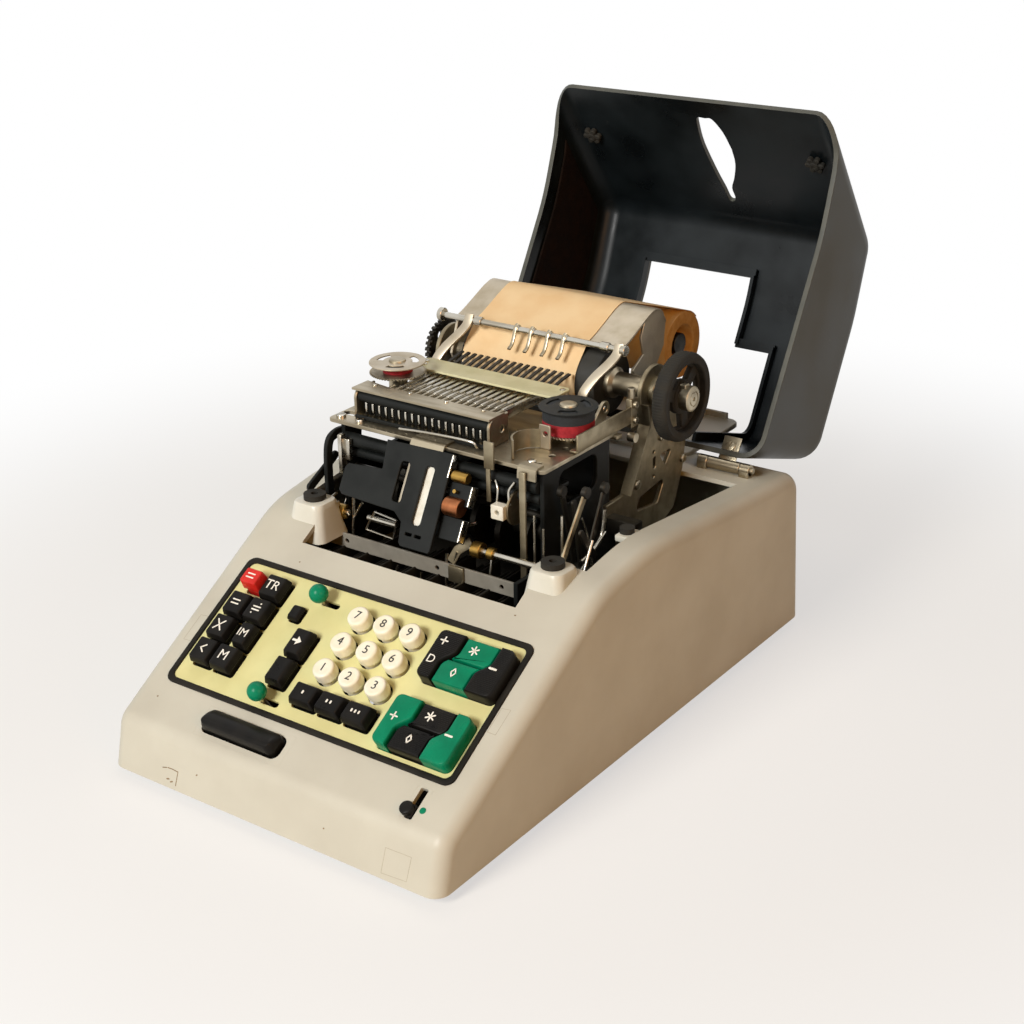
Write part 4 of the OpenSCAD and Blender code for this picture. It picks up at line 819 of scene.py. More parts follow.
def cluster_key(row, part, look, *signs):
    """One key of a cluster: its outline stacked with a rolled edge, then ribs if it is black, then its signs."""
    loop, h = cluster_outline(part), 9.0 if part in ("plus", "minus") else 7.6
    levels = [(0, BURIED), (0, h - 2), (0.2, h - 0.9), (0.6, h - 0.25), (1.2, h)]
    x0, s0 = CLUSTER[row]
    layers = [(laid(lofted(tiers((inset(loop, d), n) for d, n in levels)), x0, s0), look[0])]
    if look is BLACK:
        layers.append((laid(ribs(inset(loop, 1.5), h), x0, s0), look[0]))
    for sign, x, s in signs:
        layers.append((laid(sign_shape(sign, 7.4), x0 + x, s0 + s, h + 0.2), white_sign))
    name = f"key_{row}_{part}"
    piece(name + "_cap", layers, name, look[1], (name,))


cluster_key("upper", "plus", BLACK, ("+", -19.4, 8.5), ("D", -20.6, -4.6))
cluster_key("lower", "plus", GREEN, ("+", -19.4, 1.5))
for row, outer, inner in (("upper", BLACK, GREEN), ("lower", GREEN, BLACK)):
    cluster_key(row, "minus", outer, ("-", 18.3, 1.2))
    cluster_key(row, "total", inner, ("*", 0.6, 8.6))
    cluster_key(row, "subtotal", inner, ("o", -3.6, -7.6))

# %% [markdown]
# ## Levers and the clear bar
# The two ball levers are turned and pressed onto steel stems. The clear bar is a long moulded bar with a ridge towards
# the front, so its loops draw in and shift as they rise. The slot lever is a small button on a tongue beside a green
# dot.

# %% Levers
turn = np.linspace(0, np.pi, 19)
ball = upright(np.c_[9.6 - 5.8 * np.cos(turn), 5.8 * np.sin(turn)], 40)
stem = upright([(-12, 0), (-12, 1.6), (-11.8, 1.7), (4.5, 1.7), (4.5, 0)], 20)
for name, x, s in (("ball_lever_top", -37.4, 79.4), ("ball_lever_bottom", -34, 9.4)):
    piece(name + "_ball", [(laid(ball, x, s), green_key), (laid(stem, x, s), steel)], name, GREEN[1], (name,))
levels = [
    (56, 13.4, BURIED, 0), (56, 13.4, 1.4, 0), (55.8, 13.2, 2.4, 0), (54.2, 10.8, 4.8, -0.8), (52.8, 7.8, 6.5, -1.8),
    (51.6, 5.0, 7.4, -2.6), (50.6, 3.2, 7.7, -3.0), (49.6, 1.6, 7.8, -3.1)]
bar = lofted(tiers((oblong(w, l, min(4, l / 2), 8) + (0, shift), n) for w, l, n, shift in levels))
piece("clear_bar_cap", [(laid(bar, -33, -13.6), black_key)], "clear_bar", BLACK[1], ("clear_bar",))
button = upright([(0.5, 0), (0.5, 3.7), (0.8, 4.0), (3.2, 4.0), (3.8, 3.6), (4.1, 2.8), (4.1, 0)], 32)
tongue = lofted(stacked([(0, -10), (0, 0.8), (0.4, 1.2)], 4, 8, 1))
layers = [(laid(button, 90.8, -19.5), black_key), (laid(tongue, 93, -19.5), black_key)]
piece("slot_lever_button", layers, "slot_lever", BLACK[1], ("slot_lever",))
dot = upright([(-0.4, 0), (-0.4, 2.0), (0.15, 1.9), (0.3, 1.4), (0.35, 0)], 24)
piece("green_dot", [(laid(dot, 98.9, -16.9), green_key)], "chassis", GREEN[1])

# %% [markdown]
# ## Keyboard panel
# A flat painted plate with one opening per key and two slots for the ball levers. The openings were noted when
# the keys were made, so they always fit. It is cut from flat curves like the other plates.

# %% Panel
openings += [oblong(13.2, 4, 1.9) + place for place in ((-32.9, 79.4), (-29.5, 9.4))]
openings += [oblong(51.9, 32.5, 4.2) + place for place in CLUSTER.values()]
panel = plate([oblong(209, 89.6, 4) + (0, 47), *openings], 2.4, 0.05)
piece("panel_plate", [(laid(panel, 0, 0, -2.4), panel_paint)], "chassis", "panel_enamel", ("keyboard_panel",))

# %% [markdown]
# ## Marks of age
# Removed stickers left thin grey outlines on the enamel, and a few chips show the primer. They are hair-thin strips and
# flecks laid on the slope and on the front wall, so they are drawn with the same strokes as the key signs.

# %% Marks on the enamel
SUNK = -0.02


def on_front(shape):
    """Flat (x, distance up the front wall, height above it), sunk a hair into the enamel, to housing coordinates."""
    lean = math.atan2(7, 28)
    x, up, n = (shape[0] + (0, 0, SUNK)).T
    return np.c_[x, up * math.sin(lean) - n * math.cos(lean), up * math.cos(lean) + n * math.sin(lean)], shape[1]


def sticker(*corners):
    """The outline of a removed sticker, one thin stroke per side."""
    return strokes(np.hstack([corners, np.roll(corners, -1, axis=0)]).tolist(), 0.3)


grey = [
    laid(sticker((107.6, 37), (113, 37), (113.2, 53.4), (107.6, 52.6)), n=SUNK),
    laid(sticker((-113.2, 28), (-107.6, 28.4), (-107.6, 47), (-113.2, 46.4)), n=SUNK),
    on_front(sticker((83.4, 0.6), (100.6, 1.6), (102, 15.8), (84.6, 15.4)))]
flecks = [
    (-81, 8.2, -78, 9.0), (-77, 9.2, -73, 9.4), (-72.4, 9.3, -68.8, 9.0), (-68.8, 9.0, -69.4, 4),
    (-69.5, 3.4, -69.8, 0.4)]
spots = [(-54.4, 11.6, -53.9, 12.0), (41.6, 11.6, 41.8, 11.7), (-77, 2.4, -75.4, 2.8), (-74, 1.4, -72.6, 2.0)]
chips = [(-103.4, -11.3, -103.0, -11.1), (82.4, 108.4, 82.9, 108.5), (-72.6, 99.9, -72.2, 100.1)]
brown = on_front(strokes(flecks, 0.6)), on_front(strokes(spots, 0.9)), laid(strokes(chips, 0.8), n=SUNK)
piece("enamel_marks", [(joined(*grey), mark_grey), (joined(*brown), mark_brown)], "chassis", "housing_enamel")

# %% [markdown]
# ## The paper
# The tally paper comes off the roll, over the sheet-metal guide and down the front of the platen. Paper under a light
# pull takes the shape of what it lies on, so its line is arcs joined by tangents, and no cloth simulation is needed.
# The line below is one profile in the side view, carried straight across.

# %% Paper line
PLATEN, ROLL, ROLL_R = np.array([303.0, 175.0]), np.array([413.0, 166.02]), 23.0


def arc(centre, r, start, end, n):
    """Points of a circle in the side view (y, z), from one angle to another in degrees."""
    a = np.radians(np.linspace(start, end, n))
    return centre + r * np.c_[np.cos(a), np.sin(a)]


def rounded(a, b, c, r, n=10):
    """The arc of radius r that rounds the corner b between a and c."""
    u, v = unit(a - b), unit(c - b)
    half = math.acos(u @ v) / 2
    centre = b + unit(u + v) * r / math.sin(half)
    start, end = [math.degrees(math.atan2(*(b + w * r / math.tan(half) - centre)[::-1])) for w in (u, v)]
    return arc(centre, r, start, start + (end - start + 540) % 360 - 180, n)


def soft_corners(points, r, n):
    """A closed polygon whose corners are arcs of radius r."""
    p = np.asarray(points, float)
    return np.vstack([rounded(*corner, r, n) for corner in zip(np.roll(p, 1, axis=0), p, np.roll(p, -1, axis=0))])


def lifted(path, d):
    """The path moved to its left by d."""
    along = unit(np.gradient(path, axis=0))
    return path + d * np.c_[-along[:, 1], along[:, 0]]


def touch(point, centre, r, side):
    """Angle at which a line from the point touches the circle."""
    v = point - centre
    return math.degrees(math.atan2(v[1], v[0]) + side * math.acos(r / np.linalg.norm(v)))


def band(path, x0, x1, thick):
    """A flat strip along a side-view path, from x0 to x1."""
    section = np.array([(x0, -thick / 2), (x1, -thick / 2), (x1, thick / 2), (x0, thick / 2)])
    return swept(np.c_[np.zeros(len(path)), path], section)


guide_line = smooth([(297.5, 199.4), (307, 202.9), (319.5, 208.5), (330, 213), (338, 214.6), (344, 212), (349, 204)],
    5)
lip = guide_line[0]
over = lifted(guide_line, 1.1)[:24]
down_to = touch(over[0], PLATEN, 21.6, 1)
back_to = touch(over[-1], ROLL, ROLL_R + 0.5, -1)
web = np.vstack([arc(PLATEN, 21.6, 215, down_to, 24), over, arc(ROLL, ROLL_R + 0.5, back_to, back_to - 30, 8)])

# %% Paper and roll
sheet = piece("paper_sheet", [(band(web, -70, 18, 0.3), paper)], "chassis", "tan_paper", ("paper_web",), bend=35)
rings = np.arange(ROLL_R - 0.5, 14.2, -0.35)
step = 0.12 * (np.arange(len(rings)) % 2)
far_end = [(0, 8.1), *np.c_[step, rings][::-1], (0.3, ROLL_R)]
near_end = [(87.7, ROLL_R), *np.c_[88 - step, rings], (87.6, 14.0), (74, 14.0), (74, 8.1), (0, 8.1)]
wound = [turned(side, (-70, *ROLL), sides=72) for side in (far_end, [far_end[-1], near_end[0]], near_end)]
layers = [((shape[0], shape[1][:1]), material) for shape, material in zip(wound, (paper_edge, paper, paper_edge))]
piece("wound_paper", layers, "paper_roll", "tan_paper", ("paper_roll",), bend=60)

# %% [markdown]
# ## Platen and knob
# The platen is a rubber-covered roller on a steel shaft. At its left end sits a ratchet wheel, at its right end a
# moulded knob with a fluted rim, three spokes and a nickel hub. Rollers are turned profiles. The fluting is a radius
# that swings with the angle, and the wheel is a plate whose outline steps in and out.

# %% Platen and wheel
roller = turned([(0, 0), (0, 20.4), (0.3, 20.9), (0.6, 21), (103.4, 21), (103.7, 20.9), (104, 20.4), (104, 0)],
    (-72, *PLATEN), sides=72)
shaft = turned([(0, 0), (0, 4.6), (0.4, 5), (185.6, 5), (186, 4.6), (186, 0)], (-104, *PLATEN), sides=32)
sleeve = turned([(0, 0), (0, 10.2), (1.2, 10.4), (4, 10), (6, 7.5), (28.4, 7.5), (29, 7.0), (29, 0)], (31, *PLATEN),
    sides=40)


def toothed(r, depth, teeth):
    """Outline of a ratchet wheel: each tooth rises over most of its pitch and drops back steeply."""
    a = (np.arange(teeth)[:, None] + (0, 0.55, 0.62, 0.95)).ravel() * 2 * np.pi / teeth
    reach = np.tile([r - depth * 0.2, r, r - depth, r - depth * 0.9], teeth)
    return reach[:, None] * np.c_[np.cos(a), np.sin(a)]


wheel = plate([toothed(19, 2.2, 30) + PLATEN, *[circle(3.2, 20) + PLATEN + at for at in ((10.5, 0), (-5.2, 9.1),
    (-5.2, -9.1))]], 3.6, 0.2)
layers = [(roller, platen_rubber), (joined(shaft, sleeve), steel), (along_x(wheel, -103.4), dark_steel)]
piece("platen_roller", layers, "platen", "black_rubber", ("platen",))

# %% Knob
flutes, a = 90, np.linspace(0, 2 * np.pi, 90 * 4, endpoint=False)
swell = 0.35 * (1 + np.cos(flutes * a)) ** 1.5 / 2.8
rim = [(6.0, 21.5, 0), (6.0, 26.8, 0), (6.5, 27.7, 1), (7.0, 28.0, 1), (13.4, 28.0, 1), (14.0, 27.7, 0.6),
    (14.4, 27.5, 0), (15.4, 27.0, 0), (16, 26.0, 0), (15.6, 24.4, 0), (15.8, 22.2, 0), (15.2, 21.5, 0)]
loops = np.stack([np.c_[np.full(len(a), 72 + x0), PLATEN[0] + (r - 0.75 * k * swell) * np.cos(a),
    PLATEN[1] + (r - 0.75 * k * swell) * np.sin(a)] for x0, r, k in rim])
fluted = grid(loops, wrap_u=True, wrap_v=True)


def bay(a0, a1, r0, r1):
    """One opening between two spokes: a sector with an inner and an outer arc."""
    return np.vstack([arc(PLATEN, r1, a0, a1, 16), arc(PLATEN, r0, a1 - 8, a0 + 8, 10)])


bays = [bay(a0 + 12, a0 + 108, 11.0, 19.6) for a0 in (42, 162, 282)]
disc = along_x(plate([circle(21.8, 64) + PLATEN, *bays], 4, 0.5), 79.5)
boss = turned([(0, 0), (0, 10.4), (5.4, 10.2), (6.2, 9.4), (6.4, 8.4), (6.4, 0)], (78.5, *PLATEN), sides=48)
hub = turned([(0, 0), (0, 8), (12.6, 8), (13.4, 7.2), (13.6, 6.4), (13.6, 5.0), (13.1, 4.8), (13.1, 4.2), (13.7, 3.9),
    (13.7, 1.4), (12.9, 1.2), (12.9, 0)], (78.2, *PLATEN), sides=48)
lug = along_x(plate([oblong(5.2, 3.6, 0.8) + PLATEN + (-1.5, 7.6)], 5, 0.5), 83)
layers = [(joined(fluted, disc, boss), rubber), (joined(hub, lug), steel)]
piece("fluted_knob", layers, "platen", "black_plastic", ("platen_knob",), bend=35)

# %% [markdown]
# ## Guide, brackets and hinge
# These are pressed sheet. The guide is a band along its side-view line with a zigzag ear beside the knob. The two
# brackets that carry the platen are plates with slots, cut from flat curves so that their edges are softly rounded.

# %% Paper guide
ear = np.vstack([guide_line[12:], PLATEN + (44, 14), PLATEN + (31, -3.5), PLATEN + (13.5, -1), PLATEN + (7, 7),
    PLATEN + (19.5, 14.5), PLATEN + (16.5, 26)])
left_cheek = np.vstack([guide_line, PLATEN + (22, -34), PLATEN + (4, -34), PLATEN + (-14, 2)])
tie_hole, shaft_hole = circle(3.2, 24) + PLATEN + (12, -26), circle(9.5, 32) + PLATEN
cheeks = joined(along_x(plate([left_cheek[::-1], tie_hole, shaft_hole], 2, 0.3), -86),
    along_x(plate([ear[::-1]], 1.6, 0.3), 41.4),
    along_x(plate([oblong(12, 44, 3) + PLATEN + (15.5, -14), tie_hole], 1.6, 0.3), 39.6))
lip_roll = swept(np.c_[[-86, 43], [lip[0]] * 2, [lip[1]] * 2], circle(1.3, 16), (0, 0, 1))
sheet_metal = joined(band(guide_line, -86, 43, 1.4), lip_roll)
piece("guide_sheet", [(sheet_metal, tin), (cheeks, tin)], "chassis", "plain_steel", ("paper_guide",))

# %% Bearing brackets
def screw(at, r=3.0, height=1.6, axis=(0, 0, 1), slot=0.7):
    """A slotted cheese-head screw: a turned head with a soft edge, split in two halves by its slot."""
    a = np.linspace(-1, 1, 13) * math.acos(slot / 2 / r)
    half = np.c_[r * np.cos(a), r * np.sin(a)]
    levels = [(1, 0), (1, height * 0.7), (0.93, height * 0.9), (0.8, height)]
    loops = np.stack([np.c_[np.maximum(half[:, 0] * k, slot / 2), half[:, 1] * k, np.full(13, h)] for k, h in levels])
    head = joined(lofted(loops), lofted(loops * (-1, -1, 1)),
        turned([(0, 0), (0, r), (height * 0.45, r * 0.98), (height * 0.45, 0)], (0, 0, 0), (0, 0, 1), 24))
    axis = np.asarray(axis, float)
    side = unit(np.cross(axis, (0.3, 0.5, 0.8)))
    return head[0] @ np.stack([side, np.cross(axis, side), axis]) + np.asarray(at, float), head[1]


outline = np.vstack([arc(PLATEN, 17, -25, 190, 24),
    [(289, 157), (268, 117.5), (248, 117), (247, 106), (262, 92), (262, 78), (303, 78), (327, 88), (338, 112),
    (341.5, 132), (333, 156)]])
tri = soft_corners([(286, 109), (316, 113), (307, 98), (281, 101)], 2.5, 6)[::-1]
wedge = soft_corners([(324, 130), (316, 121), (309, 131)], 1.5, 5)
cuts = [circle(5.3, 28) + PLATEN, oblong(3.4, 8, 1.7) + (303, 127), circle(1.2, 12) + (302, 134.5),
    circle(1.2, 12) + (302, 118), tri, wedge]
brackets = [along_x(plate([outline, *cuts], 3, 0.4), x0) for x0 in (61, -96)]
flange = swept(np.c_[np.full(3, 62.5), [(287, 171), (289.2, 157), (268, 117.5)]],
    np.array([(-1.5, -1.0), (6.5, -1.0), (6.5, 0.4), (-1.5, 0.4)]))
collar = [turned([(0, 5.2), (0, 9.5), (3.2, 9.5), (3.8, 8.8), (3.8, 5.2)], (x0, *PLATEN), sides=32) for x0 in (64,
    -99.8)]
heads = [screw((64, y, z), r, 1.8, (1, 0, 0)) for y, z,
    r in ((282, 119.5, 3.2), (337, 119, 3.0), (271, 86, 3.0), (310, 142, 2.4))]
foot_bar = slab((58, 85), (247, 256), (100, 110), 0.8)
layers = [(joined(*brackets, flange, *collar), tan_steel), (joined(*heads), steel), (foot_bar, dark_steel)]
fixed = []
for side in (1, -1):
    for x0, x1 in ((66, 73), (97, 104)):
        a, b = sorted((side * x0, side * x1))
        fixed.append(turned([(0, 0), (0, 3.6), (0.4, 4), (b - a - 0.4, 4), (b - a, 3.6), (b - a, 0)], (a, *HINGE),
            sides=32))
        fixed.append(slab((a, b), (352, 360), (107.5, 112), 0.5))
    a, b = sorted((side * 66, side * 106))
    fixed.append(turned([(0, 0), (0, 1.7), (0.4, 2), (b - a - 0.4, 2), (b - a, 1.7), (b - a, 0)], (a, *HINGE),
        sides=24))
layers.append((joined(*fixed), steel))
piece("platen_brackets", layers, "chassis", "plain_steel", ("bearing_brackets",))

# %% Hinge leaves and buffers on the cover
def star(x, up):
    """A six-armed rubber buffer behind the cover's front wall: three crossed oblongs with a button."""
    run0 = np.interp(98.3 + up, cover_rows[:12, 1], crun[:12])
    row = cover_row(np.array(run0))
    arms = [plate([rotated(oblong(14, 4, 1.9, 5), t)], 4, 0.8) for t in np.radians([0, 60, 120])]
    button = turned([(0, 0), (0, 3.6), (4.0, 3.5), (4.6, 3.0), (4.8, 1.5), (4.2, 1.2), (4.2, 0)], (0, 0, 0),
        (0, 0, 1), 28)
    shape = joined(*arms, button)
    n = np.array([0, row[2], row[3]])
    frame_axes = np.stack([(1, 0, 0), np.cross((1, 0, 0), n), n])
    points = (shape[0] * (1, 1, -1)) @ frame_axes + np.array([x, row[0], row[1]]) - 3.6 * n
    return opened((points, shape[1]))


leaves, screws = [], []
for side in (1, -1):
    a, b = sorted((side * 73.3, side * 96.7))
    leaves.append(turned([(0, 2.1), (0, 3.6), (0.4, 4), (b - a - 0.4, 4), (b - a, 3.6), (b - a, 2.1)], (a, *HINGE),
        sides=32))
    up = np.array([math.cos(math.radians(57)), math.sin(math.radians(57))])
    base = HINGE + 1.2 * np.array([-up[1], up[0]])
    leaves.append(swept(np.c_[np.full(2, side * 86), [base - up, base + 19 * up]], oblong(13, 1.4, 0.6, 3)))
    screws.append(screw((side * 86, *(base + 12.5 * up + 0.6 * np.array([-up[1], up[0]]))), 3.4, 1.6,
        (0, -up[1], up[0])))
layers = [(joined(*leaves), steel), (joined(*screws), steel), (joined(star(83.7, 45), star(-91, 44)), rubber)]
piece("hinge_leaves", layers, "cover", "plain_steel", ("cover_fittings",))

# %% [markdown]
# ## Printing unit
# A steel deck carries the type bars in a comb, a lacquered scale plate, the paper bail and two ribbon spools. All of it
# is sheet and bar stock, so the shapes are cut plates, bent straps and rods. Straps follow a side-view line, wires
# follow a smooth curve in space.

# %% Straps, wires and rods
def strap(path, w):
    """Outline of a strap in the side view: its line moved to both sides by half its width, with round ends."""
    path = np.asarray(path, float)
    left, right = lifted(path, w / 2), lifted(path, -w / 2)
    ends = []
    for at, towards in ((path[-1], path[-1] - path[-2]), (path[0], path[0] - path[1])):
        a = math.degrees(math.atan2(towards[1], towards[0]))
        ends.append(arc(at, w / 2, a - 80, a + 80, 9))
    return np.vstack([right, ends[0], left[::-1], ends[1]])


def wire(points, r=0.9):
    """A round wire through points: a circle carried along a smooth curve."""
    path = smooth(points, 6) if len(points) > 2 else np.asarray(points, float)
    side = np.eye(3)[np.argmin(abs(np.ptp(path, axis=0)))]
    return swept(path, circle(r, 14), side)


def rod(x0, x1, at, r, sides=28):
    """A rod along X with a small chamfer at both ends."""
    l, c = x1 - x0, min(0.4, r / 4)
    return turned([(0, 0), (0, r - c), (c, r), (l - c, r), (l, r - c), (l, 0)], (x0, *at), sides=sides)


print("bars and wires ready")

# %% Deck, combs and scale
deck = plate([oblong(164, 80, 3) + (-18, 222), *[circle(2, 14) + (54, 191 + 14 * i) for i in range(5)],
    oblong(48, 36, 2) + (-36, 230), oblong(20, 6, 3) + (-88, 196)], 2.5, 0.35)
teeth = -69 + 5.2 * np.arange(17)
rear = np.stack([np.c_[teeth, np.full(17, 205.0)], np.c_[teeth, np.full(17, 210.5)],
    np.c_[teeth + 1.6, np.full(17, 210.5)], np.c_[teeth + 1.6, np.full(17, 205.0)]], axis=1).reshape(-1, 2)
comb_plate = plate([np.vstack([[(-88, 192.5), (18, 192.5), (18, 208)], rear[::-1], [(-88, 208)]])], 1.6, 0.2)
cheek_line = np.vstack([[(212, 162.5), (212, 180.4)], arc(np.array([198.5, 174.4]), 6, 90, 190, 10),
    [(192.5, 162.5)]])
cheeks = [along_x(plate([cheek_line, circle(2.2, 16) + (205, 172)], 2, 0.4), x0) for x0 in (-87, 15.6)]
scale = moved(plate([np.vstack([oblong(112, 19, 3.5)]) + (-27, 253)], 1.5, 0.3), (0, 0, 180.6))
posts = [slab((x0, x0 + 2), (257, 261), (162, 181)) for x0 in (-82, 26)]
ears = [along_x(plate([np.vstack([[(248, 162), (262, 162)], arc(np.array([266.0, 172.0]), 5, -60, 140, 14)]),
    circle(2.25, 16) + (266, 172)], 2, 0.3), x0) for x0 in (-92.3, 49.3)]
pins = [turned([(0, 0), (0, 6), (h0 - 0.4, 6), (h0 - 0.4, 2.5), (h1 - 0.4, 2.5), (h1, 2.1), (h1, 0)], (x0, y0, 162),
    (0, 0, 1), 28) for x0, y0, h0, h1 in ((-80, 228, 20, 28.6), (46, 234, 5, 22.6))]
tabs = [band(np.array([(192, 163.3), (183, 163.3), (181.2, 162.6), (180.2, 161), (176.6, 154)]), -32, -7, 1.4),
    band(np.array([(188, 163.2), (182, 163.2), (180.6, 162.4), (180, 160.5), (179.6, 156)]), 47, 60, 1.2)]
fingers = [swept(np.c_[np.full(4, x0), [(255, 180.0), (263, 181.6), (271, 183.4), (278, 184.4)]],
    oblong(2.6, 1.2, 0.3, 2)) for x0 in -66.5 + 5.2 * np.arange(17)]
metal = joined(moved(deck, (0, 0, 160)), moved(comb_plate, (0, 0, 180)), *cheeks, *posts, *ears, *pins, *tabs)
black = [rod(-85, 16, (197.2, 175.4), 3.3), slab((-85, 15.6), (200, 203), (162.5, 179.8)),
    slab((-85, 15.6), (190.5, 192), (162.5, 165.2))]
bars = [slab((x0, x0 + 1.4), (195, 196.8), (163.2, 172.4), 0.2) for x0 in -80 + 5.2 * np.arange(18)]
caps = [screw((x0, 203, 181.5), 1.5, 0.9) for x0 in (-78, -50, -22, 6)]
caps += [screw((x0, y0, 162.5), r, 1.8) for x0, y0,
    r in ((-94, 188, 3.2), (-78, 187, 2.6), (50, 190, 2.8), (38, 256, 2.8), (-94, 250, 3))]
caps += [screw((x0, y0, 182.1), 1.8, 0.8) for x0, y0 in ((-79, 256), (-76, 250), (26, 257))]
layers = [(metal, steel), (scale, scale_paint), (joined(*black), black_enamel), (joined(*bars), bright_steel),
    (joined(*fingers), dark_steel), (joined(*caps), bright_steel)]
piece("print_table", layers, "chassis", "plain_steel", ("print_deck",))
bars = [slab((x0, x0 + 2.6), (204, 256), (172.8, 179.4), 0.35) for x0 in -67.8 + 5.2 * np.arange(16)]
bars += [slab((x0 + 0.3, x0 + 2.3), (214, 226), (178.8, 180.1), 0.3) for x0 in -67.8 + 5.2 * np.arange(16)]
piece("type_bar_row", [(joined(*bars), bright_steel)], "type_bars", "plain_steel", ("type_bars",))

# %% Paper bail
bend = np.array([(0, 266, 172), (1, 266.5, 179), (5, 272, 187.5), (11, 280.2, 196), (13.2, 285.2, 201),
    (13.2, 288.4, 206.5)])
arms = [swept(smooth(bend + (x0, 0, 0), 6), oblong(6.6, 1.8, 0.5, 3)) for x0 in (-81, 34)]
clip = smooth([(288.4, 206.2), (286, 204.6), (284.2, 199.5), (281.6, 194.6), (278.2, 192.4)], 6)
clips = [swept(np.c_[np.full(len(clip), x0 + 1.2), clip], oblong(2.4, 1.3, 0.4, 3)) for x0 in (-31, -19, -6, 6)]
clip_rings = [rod(x0 - 0.6, x0 + 3, (288, 203), 2.9, 20) for x0 in (-31, -19, -6, 6)]
rods = [rod(-91, 51.4, (288, 203), 2), rod(-92.2, 51.2, (266, 172), 2), rod(-63, -57.5, (288, 203), 3.1),
    rod(34, 40, (288, 203), 3.1), rod(-92, -88.5, (288, 203), 4.4), rod(48.8, 52.3, (288, 203), 3.6)]
layers = [(joined(*rods, *clip_rings), bright_steel), (joined(*arms), tin), (joined(*clips), steel)]
piece("bail_frame", layers, "paper_bail", "plain_steel", ("paper_bail",))

# %% [markdown]
# ## Ribbon spools
# The left spool is a bare steel disc with cut-outs, the right one has a dark disc over a black and red ribbon. The
# ribbon is wound cloth, so its side is a stack of fine rings.

# %% Spools
def wound_ribbon(r, z0, z1, turns=9):
    """Side of a wound ribbon: a radius that swings a little from ring to ring."""
    z = np.linspace(z0, z1, 2 * turns)
    return [(z[0], 2.8), *np.c_[z, r - 0.12 * (np.arange(2 * turns) % 2)], (z[-1], 2.8)]


def kidney(r, a0, a1, w):
    """A curved slot: an arc widened to both sides."""
    return np.vstack([arc(np.zeros(2), r + w / 2, a0, a1, 14), arc(np.zeros(2), r - w / 2, a1, a0, 14)])


holes = [circle(2.75, 20), kidney(11.5, 20, 80, 4), kidney(11.5, 150, 205, 4), kidney(11.5, 275, 330, 4)]
for name, at, z0, z1, top, low in (("ribbon_spool_left", (-80, 228), 182.5, 190.0, tin, steel),
    ("ribbon_spool_right", (46, 234), 167.5, 183.5, black_enamel, steel)):
    upper = plate([circle(18, 72), *holes], 1.0, 0.25)
    lower = plate([toothed(18, 1.3, 54), circle(2.75, 20)], 1.0, 0.2)
    hub = turned([(0, 2.75), (0, 5.6), (1.6, 5.2), (2.0, 4.4), (2.0, 2.75)], (0, 0, z1 - z0 - 0.6), (0, 0, 1), 32)
    split = 1.2 + (z1 - z0 - 2.4) * 0.5
    spool_r = 15.8 if z1 - z0 > 10 else 9.5
    red = turned(wound_ribbon(spool_r, 1.1, split), (0, 0, 0), (0, 0, 1), 56)
    dark = turned(wound_ribbon(spool_r, split, z1 - z0 - 1.1), (0, 0, 0), (0, 0, 1), 56)
    layers = [(moved(upper, (0, 0, z1 - z0 - 1.0)), top), (lower, low), (hub, steel), (red, ribbon_red),
        (dark, ribbon_black)]
    layers = [(moved(shape, (*at, z0)), material) for shape, material in layers]
    piece(name + "_reel", layers, name, "plain_steel", (name,))

# %% [markdown]
# ## Indicator
# A black plate hangs from the deck's front edge. Two slots in it show counting strips, one grey and one white, and
# beside it brass and copper rollers run on a shaft. It leans like the cover's front wall, so it has its own frame.

# %% Indicator plate and rollers
LEAN = math.radians(61)


def on_indicator(shape, x=0.0, s=0.0, n=0.0):
    """From the indicator's own x, s along its slope and n square to it to the housing's frame."""
    x, s, n = (shape[0] + (x, s, n)).T
    return np.c_[x, 182 + s * math.cos(LEAN) - n * math.sin(LEAN),
        162.5 + s * math.sin(LEAN) + n * math.cos(LEAN)], shape[1]


tee = np.array([(-49, -4), (-47, -22), (-73, -24), (-75, -27), (-75, -41), (-72, -43.5), (-30, -45), (-23, -50),
    (-21, -62), (-19, -64), (2, -64), (3, -62), (1.5, -3)])[::-1]
slots = [oblong(6.6, 25, 2) + (-30.8, -26.8), oblong(6.4, 36, 2) + (-12.2, -31.6), oblong(5, 1.8, 0.6) + (-15.2, -56),
    oblong(5, 1.8, 0.6) + (-8.2, -56)]
front = plate([tee, *slots], 2, 0.35)
lower_front = joined(moved(plate([oblong(20, 13, 1) + (11, -25)], 1.6, 0.3), (0, 0, -5)),
    moved(plate([oblong(20, 14, 1) + (11, -46)], 1.6, 0.3), (0, 0, -5)))
edges = [slab((x0, x0 + 0.9), (s0, s1), (-3, 3), 0.2) for x0, s0,
    s1 in ((1.4, -17.5, -3.5), (20.6, -31, -19), (20.6, -52.5, -39.5))]
grey_strip = slab((-30.6, -25), (-44, -10), (-1.3, -0.5), 0.2)
layers = [(on_indicator(front), black_enamel), (on_indicator(lower_front), black_enamel),
    (on_indicator(joined(*edges)), bright_steel), (on_indicator(grey_strip), tin)]
layers.append((on_indicator(turned([(0, 0), (0, 3.0), (0.6, 3.4), (10.4, 3.4), (11, 3.0), (11, 0)], (3.4, -15, -1),
    sides=32)), brass))
layers.append((on_indicator(turned([(0, 0), (0, 5.2), (0.8, 5.8), (10.6, 5.8), (11.4, 5.2), (11.4, 0)],
    (3.2, -33, -2), sides=36)), copper))
layers.append((on_indicator(turned([(0, 0), (0, 1.2), (3, 1.2), (3, 0)], (8, -24, -2), (0, 0, 1), 14)), brass))
piece("indicator_front", layers, "chassis", "dark_enamel", ("indicator_plate",))
strip = slab((-17.8, -7), (-54, -10), (-1.3, -0.4), 0.2)
piece("counting_strip", [(on_indicator(strip), strip_white)], "indicator_strip", "ivory_plastic",
    ("indicator_strip",))

